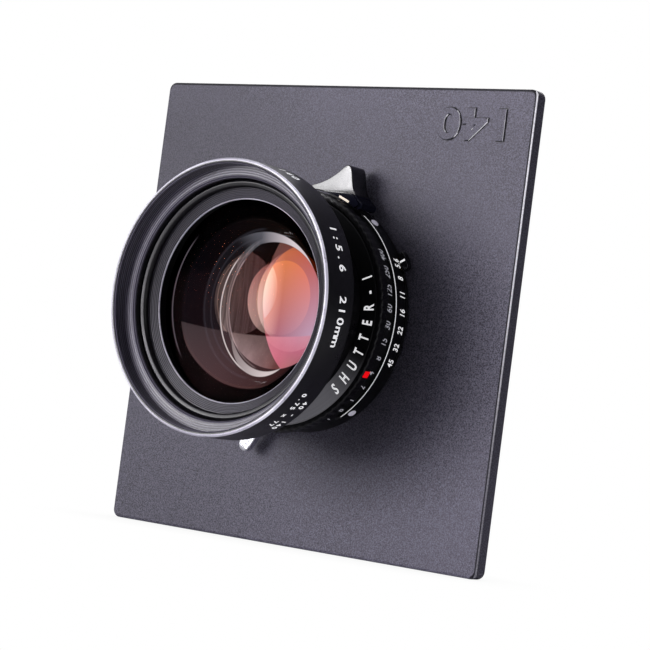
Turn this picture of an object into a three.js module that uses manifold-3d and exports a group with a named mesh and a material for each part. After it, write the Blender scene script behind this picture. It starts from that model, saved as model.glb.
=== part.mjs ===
// Large-format camera lens of 210 mm in a No. 1 leaf shutter, mounted on a flat 140 mm lens board.
// Millimetres, +Z up, the front of the lens faces -Y.
// Origin: the middle of the flat bottom edge of the lens board, halfway through its thickness.
//
// All pieces are drawn in a lens frame: x to the right and y up as seen from the front, and z,
// called the height, measured forwards from the front face of the board.
// Angles are in degrees, counter-clockwise from x as seen from the front.
import * as THREE from 'three';
import { mergeVertices } from 'three/addons/utils/BufferGeometryUtils.js';
import Module from 'manifold-3d';

const wasm = await Module();
wasm.setup();

const DEG = Math.PI / 180;

// ---- driving dimensions ----
const BOARD_SIDE = 140;
const BOARD_EDGE = 4.6;          // thickness round the edge
const BOARD_WEB = 2.2;           // thickness inside the edge
const BOARD_RIM = 6;             // width of the thick edge
const BOARD_HOLE_R = 41.8 / 2;   // hole for a No. 1 shutter
const BOARD_CORNER_R = 2.5;
const BOARD_BEVEL = 0.8;
const LOCATING_PIN_AT = [0, 28];

const TUBE_R = 20.5;             // rear tube of the shutter, through the board
const TUBE_END = -5.0;
const REAR_THREAD_R = 18.0;      // M36 x 0.75
const FRONT_THREAD_R = 20.0;     // M40 x 0.75
const SOCKET_GAP = 0.2;          // threaded sockets are this much over the nominal radius
const CELL_GAP = 0.1;            // threaded cell ends are this much under it
const FRONT_SEAT = 15.0;         // height of the front cell seat
const BODY_R = 35.4;             // shutter housing
const BODY_FRONT = 11.4;

const APERTURE_STOP_R = 15.0;    // largest opening
const PIVOT_R = 29.0;            // circle of the blade pivots
const STUD_R = 0.55;             // blade pivot stud
const CAM_PIN_R = 0.45;
const CAM_SLOT_HALF = 0.72;      // half the slot width

const POINTER_ANGLE = 28.9;      // aperture lever
const PRESS_ANGLE = 165;         // press focus lever
const COCK_ANGLE = 72.5;
const COCK_TURN = 48;

// Blades rest at bladeFrom and end at bladeTo while their ring turns by ringTurn.
// inner, outer: radii of an open blade; end: angle of its tip; arm: pivot to cam pin;
// back: height of the rearmost blade; studEnd, pinEnd: heights of the free ends.
const IRIS = {
  count: 7, phase: 0, inner: 15.2, outer: 24.5, end: 130, arm: 4.5,
  bladeFrom: 0, bladeTo: 25.6, ringTurn: -48, slotSteps: 4,      // f/5.6 to f/45
  back: 2.65, step: 0.32, thickness: 0.2, studEnd: 5.45, pinEnd: 1.76,
  ring: {
    outer: 32.7, inner: 27.2, back: 1.7, front: 2.35,
    armFrom: 32.3, armTo: 37.3, armHalf: 2.0, armAngle: POINTER_ANGLE,
  },
};
const LEAVES = {
  count: 5, phase: 26, inner: 15.8, outer: 27.0, end: 120, arm: 4.0,
  bladeFrom: 36, bladeTo: 0, ringTurn: 20, slotSteps: 3,         // closed to open
  back: 5.72, step: 0.34, thickness: 0.22, studEnd: 5.05, pinEnd: 8.05,
  ring: {
    outer: 33.2, inner: 27.5, back: 7.5, front: 8.05,
    armFrom: 32.8, armTo: 37.5, armHalf: 1.5, armAngle: PRESS_ANGLE,
  },
};

const ARBOR_FOOT = 9.35;         // rear end of the posts and arbors on the mechanism plate
const ARBOR_FRONT = 11.55;
const POST_FRONT = 11.4;

const RIM_R = 40.2;              // front rim
const RIM_FRONT = 46.0;
const RIM_BACK = 33.0;
const FILTER_R = 38.5;           // M77 x 0.75
const REAR_R = 30.0;
const REAR_END = -30.0;

// ---- solids ----
function signedVolume(geometry) {
  const { attributes: { position }, index } = geometry;
  const [a, b, c] = [0, 1, 2].map(() => new THREE.Vector3());
  let sum = 0;
  for (let i = 0; i < index.count; i += 3) {
    a.fromBufferAttribute(position, index.getX(i));
    b.fromBufferAttribute(position, index.getX(i + 1));
    c.fromBufferAttribute(position, index.getX(i + 2));
    sum += a.dot(b.cross(c));
  }
  return sum / 6;
}

// shared vertices, no zero-size triangles, faces pointing out
function tidy(geometry) {
  const bare = geometry.clone();
  for (const name of Object.keys(bare.attributes)) {
    if (name !== 'position') bare.deleteAttribute(name);
  }
  const merged = mergeVertices(bare, 1e-4);
  const old = merged.index;
  const kept = [];
  for (let i = 0; i < old.count; i += 3) {
    const corners = [old.getX(i), old.getX(i + 1), old.getX(i + 2)];
    if (new Set(corners).size === 3) kept.push(...corners);
  }
  merged.setIndex(kept);
  if (signedVolume(merged) < 0) {
    for (let i = 0; i < kept.length; i += 3) {
      [kept[i + 1], kept[i + 2]] = [kept[i + 2], kept[i + 1]];
    }
    merged.setIndex(kept);
  }
  return merged;
}

function toSolid(geometry) {
  const clean = tidy(geometry);
  return new wasm.Manifold(new wasm.Mesh({
    numProp: 3,
    vertProperties: new Float32Array(clean.attributes.position.array),
    triVerts: new Uint32Array(clean.index.array),
  }));
}

function fromSolid(manifold) {
  const data = manifold.getMesh();
  const geometry = new THREE.BufferGeometry();
  const vertices = new Float32Array(data.vertProperties);
  geometry.setAttribute('position', new THREE.BufferAttribute(vertices, 3));
  geometry.setIndex(new THREE.BufferAttribute(new Uint32Array(data.triVerts), 1));
  return geometry;
}

const join = (first, ...rest) =>
  fromSolid(rest.reduce((sum, part) => sum.add(toSolid(part)), toSolid(first)));
const cut = (first, ...rest) =>
  fromSolid(rest.reduce((left, part) => left.subtract(toSolid(part)), toSolid(first)));

// ---- outlines: lists of [x, y] ----
const polar = (r, angle) => [r * Math.cos(angle * DEG), r * Math.sin(angle * DEG)];
const offset = ([x, y], [dx, dy]) => [x + dx, y + dy];
const directionOf = ([x0, y0], [x1, y1]) => Math.atan2(y1 - y0, x1 - x0) / DEG;

const circle = (r, sides, centre = [0, 0]) =>
  Array.from({ length: sides }, (_, i) => offset(centre, polar(r, i * 360 / sides)));

const arc = (r, from, to, steps) =>
  Array.from({ length: steps + 1 }, (_, i) => polar(r, from + (to - from) * i / steps));

const turned = (points, angle) => {
  const [cos, sin] = polar(1, angle);
  return points.map(([x, y]) => [x * cos - y * sin, x * sin + y * cos]);
};

// square with rounded corners
function rounded(side, r, steps = 4) {
  const reach = side / 2 - r;
  return [[1, 1, 0], [-1, 1, 90], [-1, -1, 180], [1, -1, 270]].flatMap(([sx, sy, from]) =>
    arc(r, from, from + 90, steps).map((p) => offset(p, [sx * reach, sy * reach])));
}

// convex outline round a set of points
function hull(points) {
  const sorted = [...points].sort((a, b) => a[0] - b[0] || a[1] - b[1]);
  const cross = (o, a, b) => (a[0] - o[0]) * (b[1] - o[1]) - (a[1] - o[1]) * (b[0] - o[0]);
  const chain = (list) => {
    const kept = [];
    for (const point of list) {
      while (kept.length > 1 && cross(kept.at(-2), kept.at(-1), point) <= 1e-9) kept.pop();
      kept.push(point);
    }
    kept.pop();
    return kept;
  };
  return [...chain(sorted), ...chain(sorted.reverse())];
}

// straight-flanked teeth, the first of them centred on the angle `first`
function teeth(perTurn, module, first, count) {
  const footHalf = 0.27;         // half widths, in pitches
  const crestHalf = 0.11;
  const pitch = 360 / perTurn;
  const pitchR = perTurn * module / 2;
  const tipR = pitchR + 0.8 * module;
  const rootR = pitchR - 1.25 * module;
  return Array.from({ length: count }, (_, k) => first + k * pitch).flatMap((middle) => [
    polar(rootR, middle - footHalf * pitch), polar(tipR, middle - crestHalf * pitch),
    polar(tipR, middle + crestHalf * pitch), polar(rootR, middle + footHalf * pitch),
  ]);
}

// ---- basic bodies ----
// a turned piece: [radius, height] points, closed on itself unless it starts and ends on the axis
function lathe(profile, segments = 30) {
  const points = profile.map(([r, z]) => new THREE.Vector2(r, z));
  if (profile[0][0] !== 0 || profile.at(-1)[0] !== 0) points.push(points[0].clone());
  return tidy(new THREE.LatheGeometry(points, segments).rotateX(Math.PI / 2));
}

function shape(outline, holes = []) {
  const vectors = (points) => points.map(([x, y]) => new THREE.Vector2(x, y));
  const result = new THREE.Shape(vectors(outline));
  result.holes.push(...holes.map((hole) => new THREE.Path(vectors(hole))));
  return result;
}

// a flat plate between two heights
function plate(outline, z0, z1, holes = []) {
  const options = { depth: z1 - z0, bevelEnabled: false };
  return tidy(new THREE.ExtrudeGeometry(shape(outline, holes), options).translate(0, 0, z0));
}

const sector = (r0, r1, from, to, z0, z1, steps) =>
  plate([...arc(r1, from, to, steps), ...arc(r0, to, from, steps)], z0, z1);

function cylinder(r, z0, z1, sides, [x, y] = [0, 0]) {
  const geometry = new THREE.CylinderGeometry(r, r, z1 - z0, sides);
  return tidy(geometry.rotateX(Math.PI / 2).translate(x, y, (z0 + z1) / 2));
}

function box(x0, x1, y0, y1, z0, z1) {
  const geometry = new THREE.BoxGeometry(x1 - x0, y1 - y0, z1 - z0);
  return tidy(geometry.translate((x0 + x1) / 2, (y0 + y1) / 2, (z0 + z1) / 2));
}

// shank and head are [radius, z0, z1]
const headedPin = (centre, shank, head, shankSides = 10) =>
  join(cylinder(...shank, shankSides, centre), cylinder(...head, 10, centre));

// round wire along a list of [x, y, z]
function wire(points, r, steps) {
  const extrudePath = new THREE.CatmullRomCurve3(points.map((p) => new THREE.Vector3(...p)));
  const options = { steps, extrudePath, bevelEnabled: false };
  return tidy(new THREE.ExtrudeGeometry(shape(circle(r, 5)), options));
}

const coil = ({ centre, radius, start, turns, steps, back, rise }) =>
  arc(radius, start, start + 360 * turns, steps)
    .map((p, i) => [...offset(centre, p), back + rise * i / steps]);

// ---- materials ----
const FINISHES = {
  board_paint: { color: 0x4a484f, roughness: 0.75, metalness: 0.1 },
  satin_black: { color: 0x141416, roughness: 0.38, metalness: 0.6 },
  gloss_black: { color: 0x0c0c0e, roughness: 0.2, metalness: 0.4 },
  bare_steel: { color: 0xb4b6ba, roughness: 0.32, metalness: 1.0 },
  polished_silver: { color: 0xdcdde0, roughness: 0.14, metalness: 1.0 },
  brass: { color: 0xb38a42, roughness: 0.35, metalness: 1.0 },
  blade_steel: { color: 0x2b2d30, roughness: 0.5, metalness: 0.8 },
  coated_glass: { color: 0xcad4dd, roughness: 0.02, metalness: 0.0 },
  insulator: { color: 0xd9d6cc, roughness: 0.6, metalness: 0.0 },
};

function add(name, geometry, finish, parent) {
  const material = new THREE.MeshStandardMaterial({ name: finish, ...FINISHES[finish] });
  const mesh = new THREE.Mesh(geometry, material);
  mesh.name = name;
  parent.add(mesh);
  return mesh;
}

// ---- assembly tree ----
function subgroup(parent) {
  const group = new THREE.Group();
  parent.add(group);
  return group;
}

const root = new THREE.Group();
const lens = subgroup(root);
lens.position.set(0, -BOARD_EDGE / 2, BOARD_SIDE / 2);
lens.rotation.x = Math.PI / 2;
const boardGroup = subgroup(lens);
const shutter = subgroup(lens);
const frontCell = subgroup(lens);
const rearCell = subgroup(lens);

function turnedGroup(angle, height = 0) {
  const group = subgroup(shutter);
  group.rotation.z = angle * DEG;
  group.position.z = height;
  return group;
}

// ---- lens board: a thin plate with a thick, bevelled edge and the shutter hole ----
function lensBoard() {
  const slab = new THREE.ExtrudeGeometry(shape(rounded(BOARD_SIDE, BOARD_CORNER_R)), {
    depth: BOARD_EDGE - 2 * BOARD_BEVEL, bevelEnabled: true, bevelThickness: BOARD_BEVEL,
    bevelSize: BOARD_BEVEL, bevelOffset: -BOARD_BEVEL, bevelSegments: 2,
  });
  return cut(
    slab.translate(0, 0, -BOARD_EDGE + BOARD_BEVEL),
    plate(rounded(BOARD_SIDE - 2 * BOARD_RIM, 2, 2), -BOARD_EDGE - 1, -BOARD_WEB),
    cylinder(BOARD_HOLE_R, -4, 1, 36),
    cylinder(1.4, -1.9, 1, 12, LOCATING_PIN_AT),
  );
}
add('lens_board', lensBoard(), 'board_paint', boardGroup);

// four notches in the rear face
function lockRing() {
  const ring = lathe([[20.8, -5.0], [25.5, -5.0], [25.5, -2.5], [20.8, -2.5]]);
  const notches = [45, 135, 225, 315].map((angle) =>
    box(24.0, 27, -1.3, 1.3, -5.5, -3.6).rotateZ(angle * DEG));
  return cut(ring, ...notches);
}
add('board_lock_ring', lockRing(), 'satin_black', boardGroup);

// ---- shutter housing: rear tube, floor and outer wall, with openings for the levers ----
function housing() {
  const tubeBore = REAR_THREAD_R + SOCKET_GAP;
  const body = lathe([
    [tubeBore, TUBE_END], [TUBE_R, TUBE_END], [TUBE_R, 0.3], [BODY_R, 0.3],
    [BODY_R, BODY_FRONT], [34.1, BODY_FRONT], [34.1, 8.2], [33.5, 8.2], [33.5, 4.85],
    [33.0, 4.85], [33.0, 1.4], [16.2, 1.4], [16.2, 0.1], [tubeBore, 0.1],
  ]);
  const opening = (...span) => sector(32, 37, ...span);
  return cut(
    body,
    opening(POINTER_ANGLE + IRIS.ringTurn - 4.6, POINTER_ANGLE + 4.6, 1.55, 2.6, 8),
    opening(PRESS_ANGLE - 3.8, PRESS_ANGLE + LEAVES.ringTurn + 3.8, 7.35, 8.25, 5),
    opening(COCK_ANGLE - 6, COCK_ANGLE + COCK_TURN + 6, 9.2, 12, 8),
    opening(-113.5, -99.5, 9.2, 12, 3),      // release lever
    cylinder(1.4, 0, 1.6, 12, LOCATING_PIN_AT),
  );
}
add('shutter_housing', housing(), 'satin_black', shutter);
add('locating_pin', cylinder(1.1, -1.6, 1.3, 12, LOCATING_PIN_AT), 'brass', shutter);

// ---- aperture scale: a bent plate on the right of the wall, held by two small screws ----
const SCALE_SCREW_HEIGHT = 5.2;
const SCALE_SCREW_ANGLES = { upper: 51.6, lower: -50 };

function scalePlate() {
  const band = sector(BODY_R + 0.25, 36.15, -57, 58.5, 2.9, 7.7, 22);
  const holes = Object.values(SCALE_SCREW_ANGLES).map((angle) =>
    cylinder(0.75, 30, 40, 10).rotateY(Math.PI / 2).rotateZ(angle * DEG)
      .translate(0, 0, SCALE_SCREW_HEIGHT));
  return cut(band, ...holes);
}
add('aperture_scale_plate', scalePlate(), 'satin_black', shutter);

// drawn along z, so the heights are distances from the optical axis
const scaleScrew = () => cut(
  lathe([
    [0, BODY_R + 0.2], [0.5, BODY_R + 0.2], [0.5, 36.3], [1.25, 36.3], [1.1, 36.75], [0, 36.75],
  ], 12),
  box(-2, 2, -0.15, 0.15, 36.5, 37),
);
for (const [place, angle] of Object.entries(SCALE_SCREW_ANGLES)) {
  const holder = turnedGroup(angle, SCALE_SCREW_HEIGHT);
  add(`scale_screw_${place}`, scaleScrew(), 'satin_black', holder).rotation.y = Math.PI / 2;
}

// ---- blades and their cam rings ----
const placeAngles = ({ count, phase }) =>
  Array.from({ length: count }, (_, k) => phase + k * 360 / count);

// Drawn open, lying between two circles about the optical axis, with its pivot at the origin.
// The cam pin is on -y from the pivot, so it moves outwards as the blade swings in.
function blade({ inner, outer, end, arm, thickness, studEnd, pinEnd }, height) {
  const fromPivot = ([x, y]) => [x - PIVOT_R, y];
  const leaf = [
    ...arc(outer, -2, end - 6, 8), polar(outer - 2, end - 1.5), polar((inner + outer) / 2, end),
    polar(inner + 1.2, end - 1), ...arc(inner, end - 5, -2, 8),
  ].map(fromPivot);
  const heel = hull([
    ...circle(1.4, 10), ...circle(1.05, 8, [0, -arm]),
    ...[...arc(outer, -2, 7, 2), ...arc(outer - 4.5, -2, 4, 1)].map(fromPivot),
  ]);
  // from just inside the blade to a height in front of it or behind it
  const peg = (r, endHeight, centre) => {
    const reach = endHeight - height;
    return cylinder(r, Math.min(0.05, reach), Math.max(0.05, reach), 8, centre);
  };
  return join(plate(leaf, 0, thickness), plate(heel, 0, thickness),
    peg(STUD_R, studEnd, [0, 0]), peg(CAM_PIN_R, pinEnd, [0, -arm]));
}

function addBlades(name, set) {
  placeAngles(set).forEach((angle, k) => {
    const height = set.back + k * set.step;
    const holder = turnedGroup(angle);
    const mesh = add(`${name}_${k + 1}`, blade(set, height), 'blade_steel', holder);
    mesh.position.set(PIVOT_R, 0, height);
    mesh.rotation.z = set.bladeFrom * DEG;
  });
}

// the path of the cam pin in the turning ring's own frame, widened to a slot
function camSlot({ arm, bladeFrom, bladeTo, ringTurn, slotSteps }) {
  const path = Array.from({ length: slotSteps + 1 }, (_, i) => {
    const share = i / slotSteps;
    const swing = (bladeFrom + (bladeTo - bladeFrom) * share) * DEG;
    const x = PIVOT_R + arm * Math.sin(swing);
    const y = -arm * Math.cos(swing);
    return [Math.hypot(x, y), Math.atan2(y, x) / DEG - ringTurn * share];
  });
  const side = (shift) => path.map(([r, angle]) => polar(r + shift, angle));
  // blunt end: points at the given angles from the outward radius
  const cap = ([r, angle], bearings) => bearings.map((bearing) =>
    offset(polar(r, angle), polar(CAM_SLOT_HALF, angle + bearing)));
  const sense = Math.sign(path.at(-1)[1] - path[0][1]);
  return [
    ...side(CAM_SLOT_HALF), ...cap(path.at(-1), [sense * 55, sense * 125]),
    ...side(-CAM_SLOT_HALF).reverse(), ...cap(path[0], [-sense * 125, -sense * 55]),
  ];
}

function camRing(set) {
  const { outer, inner, back, front, armFrom, armTo, armHalf, armAngle } = set.ring;
  const slot = camSlot(set);
  const slots = placeAngles(set).map((angle) => turned(slot, angle));
  const arm = box(armFrom, armTo, -armHalf, armHalf, back, front).rotateZ(armAngle * DEG);
  return join(plate(circle(outer, 36), back, front, [circle(inner, 24), ...slots]), arm);
}

// finger piece on a ring's arm: half of its outline is given, the rest mirrors it about x
function leverCap(half, z0, z1, socket, angle) {
  const mirrored = half.map(([x, y]) => [x, -y]).reverse();
  return cut(plate([...half, ...mirrored], z0, z1), socket).rotateZ(angle * DEG);
}

add('iris_ring', camRing(IRIS), 'brass', shutter);
add('aperture_lever', leverCap([[36.4, -2.9], [38.3, -2.7], [38.7, -1.6]], 1.0, 3.1,
  box(35, 37.6, -2.3, 2.3, 1.4, 2.65), POINTER_ANGLE), 'gloss_black', shutter);
addBlades('iris_blade', IRIS);

// between iris and shutter blades, with the pivot holes of both
function bladePlate() {
  const pivots = [IRIS, LEAVES].flatMap(placeAngles)
    .map((angle) => circle(0.85, 6, polar(PIVOT_R, angle)));
  return plate(circle(33.3, 36), 5.0, 5.5, [circle(APERTURE_STOP_R, 36), ...pivots]);
}
add('blade_plate', bladePlate(), 'blade_steel', shutter);

addBlades('shutter_blade', LEAVES);
add('sector_ring', camRing(LEAVES), 'bare_steel', shutter);
add('press_focus_lever', leverCap([[36.0, -2.2], [40.2, -1.8], [41, -1.0]], 6.6, 9.0,
  box(35, 37.9, -1.8, 1.8, 7.2, 8.35), PRESS_ANGLE), 'gloss_black', shutter);

// ---- mechanism plate with the front tube that takes the front cell ----
const FRONT_BORE = FRONT_THREAD_R + SOCKET_GAP;
add('mechanism_plate', lathe([
  [FRONT_BORE, 8.4], [33.9, 8.4], [33.9, 9.2], [21.6, 9.2], [21.6, 14.7], [FRONT_BORE, 14.7],
]), 'bare_steel', shutter);

// ---- gear layout: toothed ring, retard wheel, star wheel, pallet ----
const RING_MODULE = 0.6;         // toothed ring and retard pinion
const RING_TEETH = 86;
const PINION_TEETH = 10;
const WHEEL_MODULE = 0.4;        // retard wheel and star pinion
const WHEEL_TEETH = 20;
const STAR_PINION_TEETH = 8;
const WHEEL_ANGLE = 195;
const WHEEL_ORBIT = RING_MODULE * (RING_TEETH + PINION_TEETH) / 2;
const STAR_ORBIT = 30.2;
const WHEEL_TO_STAR = WHEEL_MODULE * (WHEEL_TEETH + STAR_PINION_TEETH) / 2;
// law of cosines in the triangle of optical axis, wheel and star
const STAR_ANGLE = WHEEL_ANGLE + Math.acos(
  (WHEEL_ORBIT ** 2 + STAR_ORBIT ** 2 - WHEEL_TO_STAR ** 2) / (2 * WHEEL_ORBIT * STAR_ORBIT),
) / DEG;
const WHEEL_AT = polar(WHEEL_ORBIT, WHEEL_ANGLE);
const STAR_AT = polar(STAR_ORBIT, STAR_ANGLE);
const PALLET_AT = polar(30.4, STAR_ANGLE + 8.7);
const STAR_DIRECTION = directionOf(WHEEL_AT, STAR_AT);

// ---- drive ring: toothed arc and catch lug ----
function driveRing() {
  const rimR = 25.0;
  const lugR = 26.4;
  const [lugFrom, lugTo] = [204.5, 207.5];
  const count = 14;
  const pitch = 360 / RING_TEETH;
  const first = WHEEL_ANGLE - 12 * pitch;
  const toothedFrom = first - 0.5 * pitch;
  const toothedTo = first + (count - 0.5) * pitch;
  return plate([
    ...teeth(RING_TEETH, RING_MODULE, first, count),
    polar(rimR, toothedTo), polar(rimR, lugFrom - 0.6), polar(lugR, lugFrom),
    polar(lugR, lugTo), polar(rimR, lugTo + 0.6), ...arc(rimR, lugTo + 8, 360 + toothedFrom, 16),
  ], 9.5, 10.0, [circle(22.0, 30)]);
}
add('drive_ring', driveRing(), 'bare_steel', shutter);

// ---- cocking lever: a flat arm through the wall and a paddle with hollow sides ----
// [radius, angle]
const PADDLE = [
  [36.9, 87.0], [37.6, 88.4], [38.3, 87.6], [39.3, 83.6], [41.1, 79.5], [43.7, 76.0],
  [45.9, 74.0], [46.6, 72.9], [46.5, 71.6], [45.5, 70.2], [43.0, 68.0], [41.0, 65.6],
  [39.6, 61.5], [39.3, 58.2], [38.5, 57.4], [37.0, 58.2], [36.8, 66], [36.8, 79],
];
add('cocking_lever', join(
  plate(PADDLE.map(([r, angle]) => polar(r, angle)), 3.0, 10.1),
  sector(36.8, 39.2, COCK_ANGLE - 8, COCK_ANGLE + 8, 9, 10.7, 4),
  box(22.7, 38.5, -2.5, 2.5, 10.15, 10.7).rotateZ(COCK_ANGLE * DEG),
), 'gloss_black', shutter);

// ---- mainspring on its post ----
const MAIN_SPRING_AT = polar(30.0, 20);
add('main_spring_post', headedPin(MAIN_SPRING_AT,
  [1.1, ARBOR_FOOT, POST_FRONT], [1.6, 11.15, 11.5]), 'bare_steel', shutter);
add('main_spring', wire([
  [...offset(MAIN_SPRING_AT, [-2.4, -3.6]), 9.72],
  ...coil({
    centre: MAIN_SPRING_AT, radius: 2.1, start: 180, turns: 2.5, steps: 18, back: 9.8, rise: 0.95,
  }),
  [...offset(MAIN_SPRING_AT, [2.2, 3.4]), 10.8],
], 0.2, 30), 'bare_steel', shutter);

// ---- retard train ----
const arbor = (r) => cylinder(r, ARBOR_FOOT, ARBOR_FRONT, 6);

function retardWheel() {
  const firstTooth = STAR_DIRECTION - WHEEL_ANGLE - 180;
  return join(
    plate(teeth(PINION_TEETH, RING_MODULE, 18, PINION_TEETH), 9.45, 10.2),
    plate(teeth(WHEEL_TEETH, WHEEL_MODULE, firstTooth, WHEEL_TEETH), 10.15, 10.5),
    arbor(0.5),
  );
}
const wheelMesh = add('retard_wheel', retardWheel(), 'brass', shutter);
wheelMesh.position.set(...WHEEL_AT, 0);
wheelMesh.rotation.z = (WHEEL_ANGLE + 180) * DEG;

function starWheel() {
  const star = Array.from({ length: 10 }, (_, k) => k * 36).flatMap((angle) =>
    [polar(1.75, angle - 10), polar(2.8, angle), polar(1.9, angle + 8)]);
  // half a pitch off the line to the wheel, so that the teeth mesh
  const firstTooth = STAR_DIRECTION + 180 + 180 / STAR_PINION_TEETH;
  return join(
    plate(star, 10.65, 11.0),
    plate(teeth(STAR_PINION_TEETH, WHEEL_MODULE, firstTooth, STAR_PINION_TEETH), 10.1, 10.7),
    arbor(0.45),
  );
}
add('star_wheel', starWheel(), 'brass', shutter).position.set(...STAR_AT, 0);

// a fork round the star wheel, drawn from the pallet's own arbor
function pallet() {
  const facing = directionOf(STAR_AT, PALLET_AT);
  const starCentre = [STAR_AT[0] - PALLET_AT[0], STAR_AT[1] - PALLET_AT[1]];
  const aboutStar = ([r, angle]) => offset(starCentre, polar(r, facing + angle));
  // [radius, angle] about the star wheel
  const lowerHorn = [[3.15, -62], [3.9, -60], [4.6, -24]];
  const upperHorn = [[4.6, 24], [3.9, 60], [3.15, 62]];
  const hollow = [[3.25, 34], [3.45, 12], [3.45, -12], [3.25, -34]];
  const fork = [
    ...lowerHorn.map(aboutStar), ...arc(1.9, facing - 50, facing + 50, 4),
    ...upperHorn.map(aboutStar), ...hollow.map(aboutStar),
  ];
  return join(plate(fork, 10.62, 11.0), arbor(0.45));
}
add('pallet', pallet(), 'bare_steel', shutter).position.set(...PALLET_AT, 0);

function retardBridge() {
  const [from, to] = [WHEEL_ANGLE - 13, STAR_ANGLE + 19];
  const pillars = [polar(32.0, WHEEL_ANGLE - 10.8), polar(30.6, STAR_ANGLE + 16.6)];
  const holes = [WHEEL_AT, STAR_AT, PALLET_AT].map((centre) => circle(0.75, 6, centre));
  return join(
    plate([...arc(33.2, from, to, 8), ...arc(27.6, to, from, 8)], 11.12, 11.5, holes),
    ...pillars.map((centre) => cylinder(0.9, ARBOR_FOOT, 11.2, 8, centre)),
  );
}
add('retard_bridge', retardBridge(), 'brass', shutter);

// ---- release lever on its post, with a small return spring ----
const RELEASE_AT = polar(30.6, -104);
const RELEASE_TIP = polar(46.0, -111);

// drawn along x from the pivot
function releaseLever() {
  const length = Math.hypot(RELEASE_TIP[0] - RELEASE_AT[0], RELEASE_TIP[1] - RELEASE_AT[1]);
  const padR = 2.2;
  const pad = [-70, -40, -15, 15, 40, 70].map((angle) =>
    offset([length - padR, 0], polar(padR, angle)));
  return join(
    plate([...arc(1.9, 60, 300, 8), [7.2, -1.9], [7.2, 1.9]], 9.5, 10.2, [circle(1.25, 8)]),
    plate([[-1.0, -1.2], [-3.9, 0.2], [-3.9, 1.0], [-0.8, 1.75]], 9.5, 10.2),
    box(6.4, 7.4, -1.9, 1.9, 3.4, 10.2),
    plate([[6.4, -1.9], [length - 3.2, -2.2], ...pad, [length - 3.2, 2.2], [6.4, 1.9]], 3.4, 5.6),
  );
}
const releaseMesh = add('release_lever', releaseLever(), 'polished_silver', shutter);
releaseMesh.position.set(...RELEASE_AT, 0);
releaseMesh.rotation.z = directionOf(RELEASE_AT, RELEASE_TIP) * DEG;

add('release_post', headedPin(RELEASE_AT,
  [0.95, ARBOR_FOOT, POST_FRONT], [1.5, 11.1, 11.45]), 'bare_steel', shutter);
add('release_return_spring', wire([
  ...coil({
    centre: RELEASE_AT, radius: 1.5, start: 40, turns: 1.5, steps: 14, back: 10.45, rise: 0.4,
  }),
  [...offset(RELEASE_AT, [-4.4, 0.6]), 10.87],
], 0.15, 18), 'bare_steel', shutter);

// ---- cover plate, speed ring and name ring; three screws through cover and name ring ----
const COVER_SCREWS = [30, 150, 270].map((angle) => polar(23.2, angle));
const screwHoles = (r, z0, z1, sides) =>
  COVER_SCREWS.map((centre) => cylinder(r, z0, z1, sides, centre));

add('cover_plate', cut(
  lathe([[21.9, 10.95], [24.3, 10.95], [24.3, 11.7], [35.2, 11.7], [35.2, 12.2], [21.9, 12.2]]),
  ...screwHoles(0.8, 10, 13, 8),
), 'satin_black', shutter);
add('speed_ring', lathe([
  [25.2, 12.5], [35.6, 12.5], [35.6, 11.8], [36.3, 11.8], [36.5, 12.1], [36.5, 14.7],
  [36.2, 15.0], [34.8, 15.0], [34.8, 13.0], [25.2, 13.0],
]), 'satin_black', shutter);
add('name_ring', cut(
  lathe([[21.9, 13.4], [34.4, 13.4], [34.4, 14.5], [34.1, 14.8], [21.9, 14.8]]),
  ...screwHoles(0.8, 13, 15, 8),
  ...screwHoles(1.25, 14.0, 15, 10),
), 'satin_black', shutter);
COVER_SCREWS.forEach(([x, y], i) => {
  add(`cover_screw_${i + 1}`, cut(
    headedPin([x, y], [0.6, 11.0, 14.25], [1.1, 14.1, 14.75], 8),
    box(x - 2, x + 2, y - 0.15, y + 0.15, 14.5, 15),
  ), 'bare_steel', shutter);
});

// ---- cable release socket and flash contact, pointing outwards on the left of the wall ----
// Profiles here are [radius, distance from the optical axis].
function outward(angle) {
  const tip = subgroup(turnedGroup(angle, 6.0));
  tip.rotation.y = Math.PI / 2;
  return tip;
}
add('cable_release_socket', lathe([
  [0, 35.75], [3.2, 35.75], [3.2, 36.6], [2.7, 37.0], [2.7, 42.4], [2.4, 42.9], [1.7, 42.9],
  [1.25, 37.6], [0, 37.6],
], 12), 'polished_silver', outward(220));

const sync = outward(200);
add('sync_shell', lathe([
  [0, 35.75], [2.9, 35.75], [2.9, 36.4], [2.55, 36.6], [2.55, 40.6], [2.2, 40.6], [2.2, 36.9],
  [0, 36.9],
], 14), 'polished_silver', sync);
add('sync_insulator', lathe([[0.75, 37.0], [1.9, 37.0], [1.9, 39.6], [0.75, 39.6]], 10),
  'insulator', sync);
add('sync_pin', lathe([[0, 37.0], [0.55, 37.0], [0.55, 40.2], [0.3, 40.5], [0, 40.5]], 8),
  'brass', sync);

// ---- glass ----
// A surface is [rim radius, height on the axis, radius of curvature]; with a positive
// curvature its rim lies further forward than its middle. `edge` adds points between the two.
function addGlass(name, first, second, parent, edge = []) {
  const surface = ([rim, vertex, curvature]) => Array.from({ length: 4 }, (_, i) => {
    const r = rim * i / 3;
    const sag = Math.abs(curvature) - Math.sqrt(curvature ** 2 - r ** 2);
    return [r, vertex + Math.sign(curvature) * sag];
  });
  const profile = [...surface(first), ...edge, ...surface(second).reverse()];
  add(name, lathe(profile, 20), 'coated_glass', parent);
}

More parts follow.
